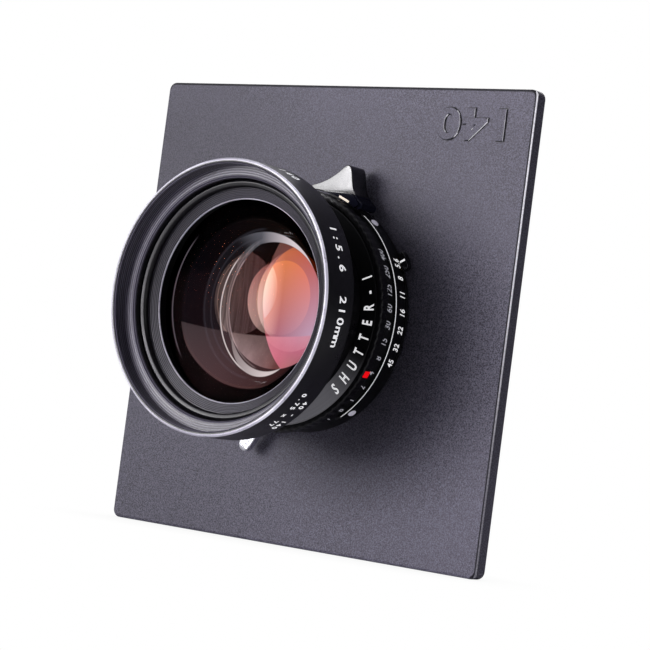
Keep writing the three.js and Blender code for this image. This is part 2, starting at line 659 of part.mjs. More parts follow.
// ---- front cell ----
add('front_barrel', lathe([
  [18.0, 9.8], [FRONT_THREAD_R - CELL_GAP, 9.8], [FRONT_THREAD_R - CELL_GAP, FRONT_SEAT + 0.1],
  [28.8, FRONT_SEAT + 0.1], [28.8, 21.0], [33.2, 26.5], [33.6, 32.4], [39.6, RIM_BACK],
  [RIM_R, RIM_BACK + 0.6], [RIM_R, RIM_FRONT - 0.6], [39.8, RIM_FRONT], [39.0, RIM_FRONT],
  [FILTER_R, RIM_FRONT - 0.5], [FILTER_R, 41.5], [35.7, 41.2], [35.1, 40.5], [35.1, 34.95],
  [30.8, 34.95], [30.8, 31.8], [24.8, 30.0], [24.8, 15.9], [18.0, 15.9],
]), 'satin_black', frontCell);
add('front_retaining_ring', lathe([
  [32.8, 37.5], [34.9, 37.5], [34.9, 38.7], [34.2, 39.3], [33.2, 39.0], [32.8, 38.3],
]), 'satin_black', frontCell);
add('front_baffle_ring', lathe([
  [29.6, 35.65], [30.9, 35.25], [34.8, 35.25], [34.8, 37.2], [32.9, 37.2], [29.6, 35.9],
]), 'satin_black', frontCell);
addGlass('front_element_1', [30.5, 27.97, 110], [30.5, 41.47, -75], frontCell);
addGlass('front_element_2', [24.5, 24.87, -70], [24.5, 27.77, 110], frontCell);
add('front_spacer', lathe([
  [21.1, 16.2], [24.5, 16.2], [24.5, 20.1], [22.0, 20.1], [21.1, 19.0],
]), 'bare_steel', frontCell);
addGlass('front_element_3', [17.6, 18.6, -70], [20.8, 23.9, -45], frontCell, [[20.8, 16.35]]);

// ---- rear cell ----
add('rear_barrel', lathe([
  [16.6, -0.1], [REAR_THREAD_R - CELL_GAP, -0.1], [REAR_THREAD_R - CELL_GAP, -5.3],
  [29.4, -5.3], [REAR_R, -5.9], [REAR_R, REAR_END + 0.6], [29.5, REAR_END], [28.3, REAR_END],
  [28.0, REAR_END + 0.4], [28.0, -23.6], [25.8, -23.6], [25.8, -20.7], [21.3, -19.4],
  [21.3, -7.4], [16.6, -7.4],
]), 'satin_black', rearCell);
addGlass('rear_element_4', [16.0, -9.9, 60], [18.6, -14.1, 42], rearCell, [[18.6, -7.72]]);
add('rear_spacer', lathe([
  [18.9, -7.7], [21.0, -7.7], [21.0, -11.1], [19.4, -11.1], [18.9, -10.4],
]), 'satin_black', rearCell);
addGlass('rear_element_5', [21.0, -15.0, 65], [21.0, -17.6, -100], rearCell);
addGlass('rear_element_6', [25.5, -17.8, -100], [25.5, -28.0, 70], rearCell);
add('rear_retaining_ring', lathe([
  [24.7, -23.9], [27.7, -23.9], [27.7, -25.6], [25.6, -25.6], [24.7, -24.6],
]), 'satin_black', rearCell);

export default root;
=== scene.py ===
import math
from functools import cached_property

import bmesh
import bpy
import numpy as np
from mathutils import Matrix, Vector


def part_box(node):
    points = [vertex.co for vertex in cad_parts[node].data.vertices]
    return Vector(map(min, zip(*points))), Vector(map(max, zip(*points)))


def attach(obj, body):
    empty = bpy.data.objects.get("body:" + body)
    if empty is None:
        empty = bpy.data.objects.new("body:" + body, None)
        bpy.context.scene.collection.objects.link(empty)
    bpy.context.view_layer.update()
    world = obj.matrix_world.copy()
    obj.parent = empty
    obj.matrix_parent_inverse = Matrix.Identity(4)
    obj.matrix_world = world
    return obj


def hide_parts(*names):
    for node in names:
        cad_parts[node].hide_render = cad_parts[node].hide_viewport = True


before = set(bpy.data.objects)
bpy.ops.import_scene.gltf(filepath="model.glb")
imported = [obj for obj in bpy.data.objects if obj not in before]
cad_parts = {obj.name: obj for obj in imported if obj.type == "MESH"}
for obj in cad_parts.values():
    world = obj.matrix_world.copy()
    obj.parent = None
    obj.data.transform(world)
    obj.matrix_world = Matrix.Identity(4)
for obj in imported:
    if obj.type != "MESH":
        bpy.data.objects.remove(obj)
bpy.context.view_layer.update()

scene = bpy.context.scene
board_lo, board_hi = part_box("lens_board")
FACE = board_lo.y
AXIS_X = (board_lo.x + board_hi.x) / 2
AXIS_Z = (board_lo.z + board_hi.z) / 2
DEG = math.pi / 180
ROOT = "board_and_housing"

# Levers: rest angle and sweep.
STOP_ANGLE, STOP_SWEEP = 28.9, 48
COCK_ANGLE, COCK_SWEEP = 72.5, 48
FOCUS_ANGLE, FOCUS_SWEEP = 165, 20

# Radii that carry lettering.
HOUSING_R, SCALE_R, DIAL_R, BARREL_R = 35.4, 36.15, 36.5, 40.2
NAME_FACE_H = 14.8


def place(points):
    points = np.asarray(points, float)
    x, y, forwards = (points[..., k] / 1000 for k in range(3))
    return np.stack([AXIS_X + x, FACE - forwards, AXIS_Z + y], -1)


# ------------------------------------------------------------------ outlines
def polar(radius, angle):
    return (radius * math.cos(angle * DEG), radius * math.sin(angle * DEG))


def turn(points, angle, x=0, y=0):
    """Turn points about the origin, then move it to (x, y)."""
    cos, sin = math.cos(angle * DEG), math.sin(angle * DEG)
    return [(x + p[0] * cos - p[1] * sin, y + p[0] * sin + p[1] * cos) for p in points]


def circle(radius, count=64, x=0, y=0):
    angles = [2 * math.pi * i / count for i in range(count)]
    return [(x + radius * math.cos(a), y + radius * math.sin(a)) for a in angles]


def arc(radius, start, end, steps):
    return [polar(radius, start + (end - start) * i / steps) for i in range(steps + 1)]


def sector(inner, outer, start, end, steps):
    return [*arc(outer, start, end, steps), *arc(inner, end, start, steps)]


def box(x0, x1, y0, y1):
    return [(x0, y0), (x1, y0), (x1, y1), (x0, y1)]


def soften(points, cut=0.12, steps=3, closed=True):
    """Round the corners of an outline. A point may carry its own cut as a third number."""
    out = []
    count = len(points)
    for i, point in enumerate(points):
        reach = point[2] if len(point) > 2 else cut
        corner = np.array(point[:2], float)
        if reach <= 0 or (not closed and i in (0, count - 1)):
            out.append(tuple(corner))
            continue
        before = np.array(points[i - 1][:2], float)
        after = np.array(points[(i + 1) % count][:2], float)
        to_before = np.linalg.norm(before - corner)
        to_after = np.linalg.norm(after - corner)
        reach = min(reach, 0.45 * to_before, 0.45 * to_after)
        if reach < 2e-3:
            out.append(tuple(corner))
            continue
        start = corner + (before - corner) / to_before * reach
        end = corner + (after - corner) / to_after * reach
        for k in range(steps + 1):
            s = k / steps
            out.append(tuple((1 - s) ** 2 * start + 2 * s * (1 - s) * corner + s * s * end))
    return out


def spline(points, steps):
    """Closed Catmull-Rom curve through the points."""
    points = np.array(points, float)
    count = len(points)
    out = []
    for i in range(count):
        a, b, c, d = (points[(i + k) % count] for k in (-1, 0, 1, 2))
        for k in range(steps):
            t = k / steps
            out.append(tuple(0.5 * (2 * b + (c - a) * t + (2 * a - 5 * b + 4 * c - d) * t * t
                                    + (3 * b - a - 3 * c + d) * t ** 3)))
    return out


def hull(points):
    """Convex hull."""
    def half(sequence):
        out = []
        for q in sequence:
            while len(out) > 1 and ((out[-1][0] - out[-2][0]) * (q[1] - out[-2][1])
                                    - (out[-1][1] - out[-2][1]) * (q[0] - out[-2][0])) <= 1e-9:
                out.pop()
            out.append(q)
        return out[:-1]

    ordered = sorted(points)
    return half(ordered) + half(ordered[::-1])


# ------------------------------------------------------------------ meshes
def outward(verts, faces):
    """The faces, reversed if they enclose a negative volume."""
    fans = np.array([(f[0], f[k], f[k + 1]) for f in faces for k in range(1, len(f) - 1)])
    first, second, third = np.asarray(verts, float)[fans.T]
    if np.einsum("ij,ij->i", first, np.cross(second, third)).sum() < 0:
        return [tuple(reversed(f)) for f in faces]
    return faces


def mesh_object(name, verts, faces, materials=()):
    mesh = bpy.data.meshes.new(name)
    mesh.from_pydata(place(verts).tolist(), [], outward(verts, faces))
    mesh.update()
    ob = bpy.data.objects.new(name, mesh)
    scene.collection.objects.link(ob)
    for material in materials:
        mesh.materials.append(material)
    return ob


def shade(ob, smooth=True, sharp=None):
    """Flat or smooth shading; edges steeper than sharp degrees stay crisp."""
    mesh = ob.data
    mesh.polygons.foreach_set("use_smooth", np.full(len(mesh.polygons), smooth))
    if not smooth:
        return
    if sharp:
        bm = bmesh.new()
        bm.from_mesh(mesh)
        for e in bm.edges:
            if len(e.link_faces) == 2 and e.calc_face_angle(0) > sharp * DEG:
                e.smooth = False
        bm.to_mesh(mesh)
        bm.free()
    weighted = ob.modifiers.new("weighted", "WEIGHTED_NORMAL")
    weighted.keep_sharp = True
    weighted.weight = 60


def shaded(name, verts, faces, materials, smooth=True, sharp=None, face_slots=None):
    """Shaded object of a solid. materials is one material or a list."""
    if not isinstance(materials, list):
        materials = [materials]
    ob = mesh_object(name, verts, faces, materials)
    if face_slots is not None:
        ob.data.polygons.foreach_set("material_index", np.asarray(face_slots, np.int32))
    shade(ob, smooth, sharp)
    return ob


def stand_in(ob, slot="satin_black", body=ROOT, node=None):
    """Let an object ride on a body in place of the frame's piece, named as it is less _fine."""
    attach(ob, body)
    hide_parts(node or ob.name.replace("_fine", ""))


def lathe(profile, seg, closed=True, radial=None):
    """Turn (radius, h) points about the axis: vertices, faces and each face's profile row.

    radial(angles, radii, heights) may change the radius round the turn.
    """
    profile = np.array([p[:2] for p in profile], float)
    count = len(profile)
    theta = (np.arange(seg) * 2 * math.pi / seg)[:, None]
    radii = np.tile(profile[:, 0], (seg, 1))
    heights = np.tile(profile[:, 1], (seg, 1))
    if radial is not None:
        radii = radial(theta, radii, heights)
    verts = np.stack([radii * np.cos(theta), radii * np.sin(theta), heights], -1).reshape(-1, 3)
    on_axis = profile[:, 0] < 1e-9

    def index(i, j):
        return (0 if on_axis[j] else i % seg) * count + j

    faces, rows = [], []
    for j in range(count if closed else count - 1):
        k = (j + 1) % count
        if on_axis[j] and on_axis[k]:
            continue
        for i in range(seg):
            corners = (index(i, j), index(i, k), index(i + 1, k), index(i + 1, j))
            faces.append(tuple(dict.fromkeys(corners)))
            rows.append(j)
    used = sorted({q for f in faces for q in f})
    renumber = {old: new for new, old in enumerate(used)}
    return verts[used], [tuple(renumber[q] for q in f) for f in faces], rows


def turned(name, points, materials, seg=180, cut=0.12, steps=3, radial=None, row_slot=None):
    """A closed profile turned about the lens axis. row_slot(p, q) picks a row's material slot."""
    profile = soften(points, cut, steps)
    verts, faces, rows = lathe(profile, seg, radial=radial)
    slots = None
    if row_slot is not None:
        slots = [row_slot(profile[j], profile[(j + 1) % len(profile)]) for j in rows]
    return shaded(name, verts, faces, materials, face_slots=slots)


def radial_axes(angle):
    """Unit vectors outwards, counter-clockwise and forwards at an angle about the lens axis."""
    cos, sin = polar(1, angle)
    return np.array([cos, sin, 0]), np.array([-sin, cos, 0]), np.array([0, 0, 1.0])


def turned_out(name, angle, height, points, material, seg=48):
    """A turned piece with a radial axis. points: (radius, distance from the lens axis)."""
    closed = points[0][0] > 0
    verts, faces, _ = lathe(soften(points, 0.1, closed=closed), seg, closed)
    out, along, up = radial_axes(angle)
    verts = verts[:, :1] * along + verts[:, 1:2] * up + verts[:, 2:3] * out
    return shaded(name, verts + np.array([0, 0, height]), faces, material)


def turned_at(name, x, y, points, material, seg):
    """A solid turned piece about a forward axis through (x, y)."""
    verts, faces, _ = lathe(soften(points, 0.05, 2, closed=False), seg, closed=False)
    return shaded(name, verts + np.array([x, y, 0]), faces, material)


def evaluated_mesh(ob):
    graph = bpy.context.evaluated_depsgraph_get()
    return bpy.data.meshes.new_from_object(ob.evaluated_get(graph))


def curve_solid(curve, weld, refine):
    """Vertices and faces of a filled curve, welded and passed through refine(bmesh)."""
    ob = bpy.data.objects.new("temporary", curve)
    scene.collection.objects.link(ob)
    mesh = evaluated_mesh(ob)
    bm = bmesh.new()
    bm.from_mesh(mesh)
    bmesh.ops.remove_doubles(bm, verts=bm.verts, dist=weld)
    refine(bm)
    bmesh.ops.recalc_face_normals(bm, faces=bm.faces)
    bm.verts.ensure_lookup_table()
    verts = np.array([v.co for v in bm.verts], float)
    faces = [tuple(v.index for v in f.verts) for f in bm.faces]
    bm.free()
    bpy.data.objects.remove(ob)
    bpy.data.curves.remove(curve)
    bpy.data.meshes.remove(mesh)
    return verts, faces


def slab(outlines, low, high, bevel=0.0, res=1):
    """Flat solid between two heights: first outline outside, the others holes."""
    curve = bpy.data.curves.new("temporary", "CURVE")
    curve.dimensions = "2D"
    curve.fill_mode = "BOTH"
    for outline in outlines:
        line = curve.splines.new("POLY")
        line.points.add(len(outline) - 1)
        for k, p in enumerate(outline):
            line.points[k].co = (p[0], p[1], 0, 1)
        line.use_cyclic_u = True
    half = (high - low) / 2
    bevel = min(bevel, half * 0.9)
    curve.extrude = half - bevel
    if bevel > 0:
        curve.bevel_depth = bevel
        curve.bevel_resolution = res
        curve.offset = -bevel

    def refine(bm):
        bmesh.ops.dissolve_degenerate(bm, edges=bm.edges, dist=1e-5)

    verts, faces = curve_solid(curve, 1e-4, refine)
    verts[:, 2] += (low + high) / 2
    return verts, faces


def plate(name, outlines, low, high, material, bevel=0.05, res=1, sharp=50):
    return shaded(name, *slab(outlines, low, high, bevel, res), material, sharp=sharp)


def tube(points, radius, seg=10):
    """Round wire along points, ends capped."""
    points = np.array(points, float)
    count = len(points)
    tangents = np.gradient(points, axis=0)
    tangents /= np.linalg.norm(tangents, axis=1)[:, None]
    normal = np.cross(tangents[0], [0.3, 0.2, 1.0])
    normal /= np.linalg.norm(normal)
    around = (np.arange(seg) * 2 * math.pi / seg)[:, None]
    rings = []
    for point, tangent in zip(points, tangents):
        normal = normal - tangent * (normal @ tangent)
        normal /= np.linalg.norm(normal)
        side = np.cross(tangent, normal)
        rings.append(point + radius * (np.cos(around) * normal + np.sin(around) * side))
    faces = []
    for i in range(count - 1):
        for k in range(seg):
            k2 = (k + 1) % seg
            faces.append((i * seg + k, i * seg + k2, (i + 1) * seg + k2, (i + 1) * seg + k))
    faces.append(tuple(range(seg - 1, -1, -1)))
    faces.append(tuple((count - 1) * seg + k for k in range(seg)))
    return np.concatenate(rings), faces


def coil(x, y, radius, start, sweep, low, rise, steps):
    """Helix points about a forward axis through (x, y)."""
    return [(x + radius * math.cos((start + sweep * i / steps) * DEG),
             y + radius * math.sin((start + sweep * i / steps) * DEG),
             low + rise * i / steps) for i in range(steps + 1)]


def boolean(ob, operation, parts, sharp, materials=()):
    """Combine an object's mesh with solids, apply the result and shade it."""
    ob.modifiers.clear()
    others = [mesh_object("part", *part, materials) for part in parts]
    for other in others:
        modifier = ob.modifiers.new("boolean", "BOOLEAN")
        modifier.operation = operation
        modifier.solver = "EXACT"
        modifier.object = other
    mesh = evaluated_mesh(ob)
    old = ob.data
    ob.modifiers.clear()
    ob.data = mesh
    bpy.data.meshes.remove(old)
    for other in others:
        mesh = other.data
        bpy.data.objects.remove(other)
        bpy.data.meshes.remove(mesh)
    shade(ob, sharp=sharp)


def carve(ob, cutters):
    name = ob.data.name
    boolean(ob, "DIFFERENCE", cutters, sharp=35)
    ob.data.name = name + "_cut"


def fuse(name, parts, material, sharp=35):
    ob = shaded(name, *parts[0], material)
    boolean(ob, "UNION", parts[1:], sharp, [material])
    return ob


# ------------------------------------------------------------------ lettering
SINK = 0.01     # how far letters are sunk into their surface


def lettering(text, size, shear=0.0, offset=0.0, thick=0.03, spacing=1.0, narrow=1.0):
    """Flat lettering as a closed solid in its own plane, from 0 to thick."""
    curve = bpy.data.curves.new("temporary", "FONT")
    curve.body = text
    curve.size = size
    curve.shear = shear
    curve.offset = offset
    curve.space_character = spacing
    curve.align_x = "CENTER"
    curve.align_y = "CENTER"
    curve.extrude = thick / 2
    curve.resolution_u = 5

    def refine(bm):
        for _ in range(2):
            long = [e for e in bm.edges if e.calc_length() > 0.5]
            if long:
                bmesh.ops.subdivide_edges(bm, edges=long, cuts=1)
        bmesh.ops.triangulate(bm, faces=bm.faces)

    verts, faces = curve_solid(curve, 1e-5, refine)
    verts[:, 0] *= narrow
    verts[:, 2] += thick / 2
    return verts, faces


def on_wall(solid, radius, angle, height, sense=1):
    """Wrap lettering on a cylinder. sense 1: counter-clockwise, tops forwards; -1: reversed."""
    verts, faces = solid
    theta = angle * DEG + sense * verts[:, 0] / radius
    radii = radius + verts[:, 2] - SINK
    heights = height + sense * verts[:, 1]
    return np.stack([radii * np.cos(theta), radii * np.sin(theta), heights], -1), faces


def on_name_face(solid, angle, radius=31.9):
    """Bend lettering round the name ring's face, tops towards the axis."""
    verts, faces = solid
    theta = angle * DEG + verts[:, 0] / radius
    radii = radius - verts[:, 1]
    heights = NAME_FACE_H + verts[:, 2] - SINK
    return np.stack([radii * np.cos(theta), radii * np.sin(theta), heights], -1), faces


def strip_on_wall(radius, start, end, low, high, thick=0.03, sink=SINK):
    """Raised band on a cylinder between two angles."""
    steps = max(2, int(abs(end - start) * 1.2))
    bottom, top = radius - sink, radius - sink + thick
    verts, faces = [], []
    for i in range(steps + 1):
        angle = start + (end - start) * i / steps
        for r, height in ((bottom, low), (top, low), (top, high), (bottom, high)):
            verts.append((*polar(r, angle), height))
    for i in range(steps):
        for k in range(4):
            k2 = (k + 1) % 4
            faces.append((i * 4 + k, i * 4 + k2, i * 4 + 4 + k2, i * 4 + 4 + k))
    faces.append((3, 2, 1, 0))
    faces.append(tuple(steps * 4 + k for k in range(4)))
    return np.array(verts), faces


def spread(text, first, last, wrap, size, **style):
    """Letters spaced evenly between two angles, each laid down by wrap(solid, angle)."""
    return [wrap(lettering(letter, size, **style), first + (last - first) * i / (len(text) - 1))
            for i, letter in enumerate(text) if letter != " "]


def on_barrel(height):
    return lambda solid, angle: on_wall(solid, BARREL_R, angle, height, sense=-1)


def marks(name, parts, material, body=ROOT):
    """Flat shaded marks, joined in one mesh."""
    verts, faces, base = [], [], 0
    for part_verts, part_faces in parts:
        verts.append(part_verts)
        faces += [tuple(q + base for q in face) for face in part_faces]
        base += len(part_verts)
    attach(shaded(name, np.concatenate(verts), faces, material, smooth=False), body)


# ------------------------------------------------------------------ shader trees
def srgb(code, gain=1.0):
    """sRGB hex code to a linear colour, scaled by gain."""
    levels = [int(code[i:i + 2], 16) / 255 for i in (0, 2, 4)]
    return tuple((v / 12.92 if v <= 0.04045 else ((v + 0.055) / 1.055) ** 2.4) * gain
                 for v in levels)


class Shader:
    """Short names for building a node tree. Colours are hex codes, linear triples or sockets."""

    PRINCIPLED = {"color": "Base Color", "rough": "Roughness", "metal": "Metallic",
                  "normal": "Normal", "spec": "Specular IOR Level", "coat": "Coat Weight",
                  "coat_rough": "Coat Roughness", "emission": "Emission Color",
                  "glow": "Emission Strength"}

    def __init__(self, owner, output="OutputMaterial"):
        self.owner = owner
        owner.use_nodes = True
        self.tree = owner.node_tree
        self.tree.nodes.clear()
        self.output = self.node(output)

    def node(self, kind, inputs=None, **settings):
        node = self.tree.nodes.new("ShaderNode" + kind)
        for key, value in settings.items():
            setattr(node, key, value)
        for key, value in (inputs or {}).items():
            socket = node.inputs[key]
            if isinstance(value, bpy.types.NodeSocket):
                self.tree.links.new(value, socket)
                continue
            if isinstance(value, str):
                value = srgb(value)
            socket.default_value = (*value, 1.0) if socket.type == "RGBA" else value
        return node

    # Arithmetic
    def math(self, operation, *values):
        return self.node("Math", dict(enumerate(values)), operation=operation).outputs[0]

    def add(self, first, second):
        return self.math("ADD", first, second)

    def sub(self, first, second):
        return self.math("SUBTRACT", first, second)

    def mul(self, first, *rest):
        second = rest[0] if len(rest) == 1 else self.mul(*rest)
        return self.math("MULTIPLY", first, second)

    def mul_add(self, value, factor, addend):
        return self.math("MULTIPLY_ADD", value, factor, addend)

    def vmath(self, operation, first, second, output=0):
        node = self.node("VectorMath", {0: first, 1: second}, operation=operation)
        return node.outputs[output]

    def scale(self, vector, factor):
        node = self.node("VectorMath", {0: vector, "Scale": factor}, operation="SCALE")
        return node.outputs[0]

    def combine(self, *values):
        return self.node("CombineXYZ", dict(enumerate(values))).outputs[0]

    def separate(self, vector):
        return self.node("SeparateXYZ", {0: vector}).outputs

    def ramp(self, value, span, to=(0.0, 1.0), smooth=True):
        node = self.node("MapRange", {"Value": value, "From Min": span[0], "From Max": span[1],
                                      "To Min": to[0], "To Max": to[1]},
                         interpolation_type="SMOOTHSTEP" if smooth else "LINEAR")
        return node.outputs[0]

    def fall(self, value, span):
        """1 below the span, 0 above it."""
        return self.ramp(value, span, to=(1.0, 0.0))

    # Place on the lens, in millimetres and turns
    @cached_property
    def coord(self):
        return self.node("TexCoord").outputs["Object"]

    @cached_property
    def parts(self):
        return self.separate(self.coord)

    @cached_property
    def x(self):
        return self.mul(self.sub(self.parts[0], AXIS_X), 1000)

    @cached_property
    def y(self):
        return self.mul(self.sub(self.parts[2], AXIS_Z), 1000)

    @cached_property
    def height(self):
        return self.mul(self.sub(FACE, self.parts[1]), 1000)

    @cached_property
    def radius(self):
        return self.math("SQRT", self.add(self.mul(self.x, self.x), self.mul(self.y, self.y)))

    @cached_property
    def turns(self):
        return self.math("DIVIDE", self.math("ARCTAN2", self.y, self.x), 2 * math.pi)

    @cached_property
    def camera_ray(self):
        return self.node("LightPath").outputs["Is Camera Ray"]

    # Patterns
    def noise(self, scale, detail=3, rough=0.6, vector=None):
        return self.node("TexNoise", {"Scale": scale, "Detail": detail, "Roughness": rough,
                                      "Vector": vector or self.coord}).outputs[0]

    def voronoi(self, scale, vector=None, feature="F1"):
        return self.node("TexVoronoi", {"Scale": scale, "Vector": vector or self.coord},
                         feature=feature).outputs["Distance"]

    def turning(self, lines, around, detail=3):
        """Fine lines round the axis: lines to the millimetre, patches round the turn."""
        vector = self.combine(self.mul(self.radius, lines), self.mul(self.height, lines),
                              self.mul(self.turns, around))
        return self.noise(scale=1.0, detail=detail, vector=vector)

    def mix(self, amount, first, second):
        return self.node("Mix", {0: amount, 6: first, 7: second}, data_type="RGBA").outputs[2]

    def tinge(self, color, tone, mask, strength):
        """Colour drawn towards a tone where the mask is set."""
        return self.mix(self.mul(mask, strength), color, tone)

    def bump(self, height, strength, distance):
        return self.node("Bump", {"Height": height, "Strength": strength,
                                  "Distance": distance}).outputs[0]

    # Shaders
    def emission(self, color, strength):
        return self.node("Emission", {"Color": color, "Strength": strength}).outputs[0]

    def mix_shader(self, amount, first, second):
        return self.node("MixShader", {0: amount, 1: first, 2: second}).outputs[0]

    def add_shader(self, first, second):
        return self.node("AddShader", {0: first, 1: second}).outputs[0]

    def end(self, shader):
        self.tree.links.new(shader, self.output.inputs["Surface"])
        return self.owner

    def finish(self, **looks):
        """End in a principled shader. Its glow is seen by camera rays only."""
        if "glow" in looks:
            looks["glow"] = self.mul(looks["glow"], self.camera_ray)
        inputs = {self.PRINCIPLED[key]: value for key, value in looks.items()}
        return self.end(self.node("BsdfPrincipled", inputs).outputs[0])


def new_material(name):
    return Shader(bpy.data.materials.new(name))


# ------------------------------------------------------------------ materials
def board_paint():
    """Pebbled grey paint with light and dark specks, painted light and shade over the board, a
    painted shadow beside the shutter, and painted shade lines and a glowing painted highlight along
    the board's edges.
    """
    mat = new_material("board_paint")
    x, y = mat.x, mat.y
    grain = mat.noise(scale=2500, rough=0.7)
    pebble = mat.voronoi(scale=1300, feature="SMOOTH_F1")
    cloud = mat.noise(scale=26, rough=0.5)
    color = mat.mix(mat.ramp(grain, (0.34, 0.66)), "2b2832", "6e6c7b")
    color = mat.tinge(color, "5c5a68", mat.ramp(cloud, (0.42, 0.66)), strength=0.3)
    speck = mat.ramp(mat.noise(scale=3300, detail=2, rough=0.5), (0.62, 0.72))
    color = mat.tinge(color, "9a97a3", speck, strength=0.5)
    shifted = mat.vmath("ADD", mat.coord, (0.3, 0.1, 0.2))
    pit = mat.ramp(mat.noise(scale=2700, detail=2, rough=0.5, vector=shifted), (0.62, 0.72))
    color = mat.tinge(color, "24222a", pit, strength=0.45)
    # painted light and shade: brighter to the right, at the upper edge and low on the right;
    # painted shade at the upper left and a painted shadow beside the shutter
    gain = mat.add(mat.ramp(x, (-70.0, 70.0), to=(0.84, 1.22), smooth=False),
                   mat.ramp(y, (52.0, 70.0), to=(0.0, 0.12)))
    low = mat.mul(mat.fall(y, (-60.0, -15.0)), mat.ramp(x, (-35.0, 15.0)))
    left = mat.mul(mat.ramp(y, (0.0, 45.0)), mat.fall(x, (-45.0, 0.0)))
    # painted shadow: the shutter's cast shadow darkens the board beside it
    shutter_shadow = mat.mul(mat.fall(mat.radius, (38.0, 54.0)), mat.ramp(x, (5.0, 30.0)))
    low_right_light, upper_left_shade, shutter_shadow_depth = 0.24, 0.19, 0.42
    painted_shade = mat.mul_add(left, upper_left_shade, mat.mul(shutter_shadow, shutter_shadow_depth))
    gain = mat.add(gain, mat.sub(mat.mul(low, low_right_light), painted_shade))
    color = mat.scale(color, gain)
    # edges told apart by the way they face: painted shade lines on the right and top fillets, and a
    # glowing painted highlight on the right edge
    near_face = (-1.0, -0.7)
    normal = mat.separate(mat.node("NewGeometry").outputs["Normal"])
    rightward, upward = normal[0], normal[2]
    reach = mat.mul(mat.ramp(mat.height, near_face), mat.ramp(y, (-50.0, 35.0), to=(0.15, 1.0)))
    painted_edge_highlight = mat.mul(mat.mul(mat.ramp(rightward, (0.50, 0.60)), mat.fall(rightward, (0.86, 0.94))),
                  reach)
    side_shade_line = mat.mul(mat.ramp(rightward, (0.04, 0.12)), mat.fall(rightward, (0.42, 0.52)))
    top_shade_line = mat.ramp(upward, (0.04, 0.15))
    line = mat.mul(mat.math("MAXIMUM", side_shade_line, top_shade_line), mat.ramp(mat.height, near_face))
    color = mat.tinge(color, "17161b", line, strength=0.9)
    color = mat.mix(painted_edge_highlight, color, (0.8, 0.79, 0.83))
    # painted light: faces that point downwards are drawn lighter and bluer
    foot = mat.mul(mat.fall(upward, (-0.9, -0.4)), 1.0)
    color = mat.tinge(color, "8a8c98", foot, strength=0.4)
    grain_relief, pebble_relief = 0.7, 0.5
    relief = mat.add(mat.mul(grain, grain_relief), mat.mul(pebble, pebble_relief))
    # the glow is the painted highlight along the right edge
    return mat.finish(color=color, rough=mat.ramp(grain, (0.3, 0.7), to=(0.46, 0.62)), spec=0.25,
                      normal=mat.bump(relief, strength=0.6, distance=0.00009),
                      emission=(0.95, 0.94, 1.0),
                      glow=mat.mul(painted_edge_highlight, mat.ramp(grain, (0.35, 0.6), to=(0.25, 0.6))))


def black_metal(name, base, rough, lines=9.0, strength=0.12, wear=0.25, grain=0.0):
    """Satin black over turned metal: fine marks round the axis, and wear on the edges."""
    mat = new_material(name)
    turning = mat.turning(lines, around=6.0)
    fine = mat.noise(scale=2600)
    patch = mat.noise(scale=120, rough=0.55)
    color = mat.mix(mat.ramp(turning, (0.3, 0.75)), base, srgb(base, gain=1.7))
    if wear:
        # the rounded normal leaves the true one on sharp edges
        rounded = mat.node("Bevel", {"Radius": 0.00025}, samples=4).outputs[0]
        normal = mat.node("NewGeometry").outputs["Normal"]
        agreement = mat.vmath("DOT_PRODUCT", rounded, normal, output=1)
        edge = mat.ramp(mat.sub(1.0, agreement), (0.02, 0.25))
        rubbed = mat.ramp(mat.noise(scale=900, detail=4, rough=0.65), (0.42, 0.72))
        color = mat.tinge(color, "6c6a70", mat.mul(edge, rubbed), strength=wear)
    fine_rough, fine_relief = 0.12, 0.25 + grain
    roughness = mat.add(mat.ramp(patch, (0.3, 0.7), to=(rough - 0.05, rough + 0.06)),
                        mat.mul(mat.sub(fine, 0.5), fine_rough))
    relief = mat.add(turning, mat.mul(fine, fine_relief))
    return mat.finish(color=color, rough=roughness,
                      normal=mat.bump(relief, strength, distance=0.00004))


def gloss_black(name, dull_base=False):
    """Polished black. dull_base: dulled towards the lens axis, with a dark blue painted reflection in
    the dulled part.
    """
    mat = new_material(name)
    fine = mat.noise(scale=700, rough=0.5)
    smear_scale = mat.ramp(fine, (0, 1), to=(150, 155))
    smear = mat.noise(smear_scale, detail=4, rough=0.65)
    color = mat.mix(mat.ramp(smear, (0.35, 0.7)), "0c0c0f", "17171b")
    dust = mat.ramp(mat.noise(scale=4200, detail=2, rough=0.5), (0.70, 0.78))
    color = mat.tinge(color, "77757c", dust, strength=0.2)
    spec, coat = 0.5, 0.4
    if dull_base:
        # the boundary is a slightly tilted line, just outside the housing's top
        tilt, polish_span = 0.05, (36.5, 36.9)
        dull_spec, added_spec, polished_coat = 0.04, 0.46, 0.42
        polished = mat.ramp(mat.mul_add(mat.x, tilt, mat.y), polish_span)
        spec = mat.mul_add(polished, added_spec, dull_spec)
        coat = mat.mul(polished, polished_coat)
        # painted reflection: the dulled part is drawn dark blue
        color = mat.mix(polished, "1c1d2b", color)
    return mat.finish(color=color, rough=mat.ramp(smear, (0.3, 0.75), to=(0.10, 0.24)),
                      spec=spec, coat=coat, coat_rough=0.08,
                      normal=mat.bump(fine, strength=0.03, distance=0.00006))


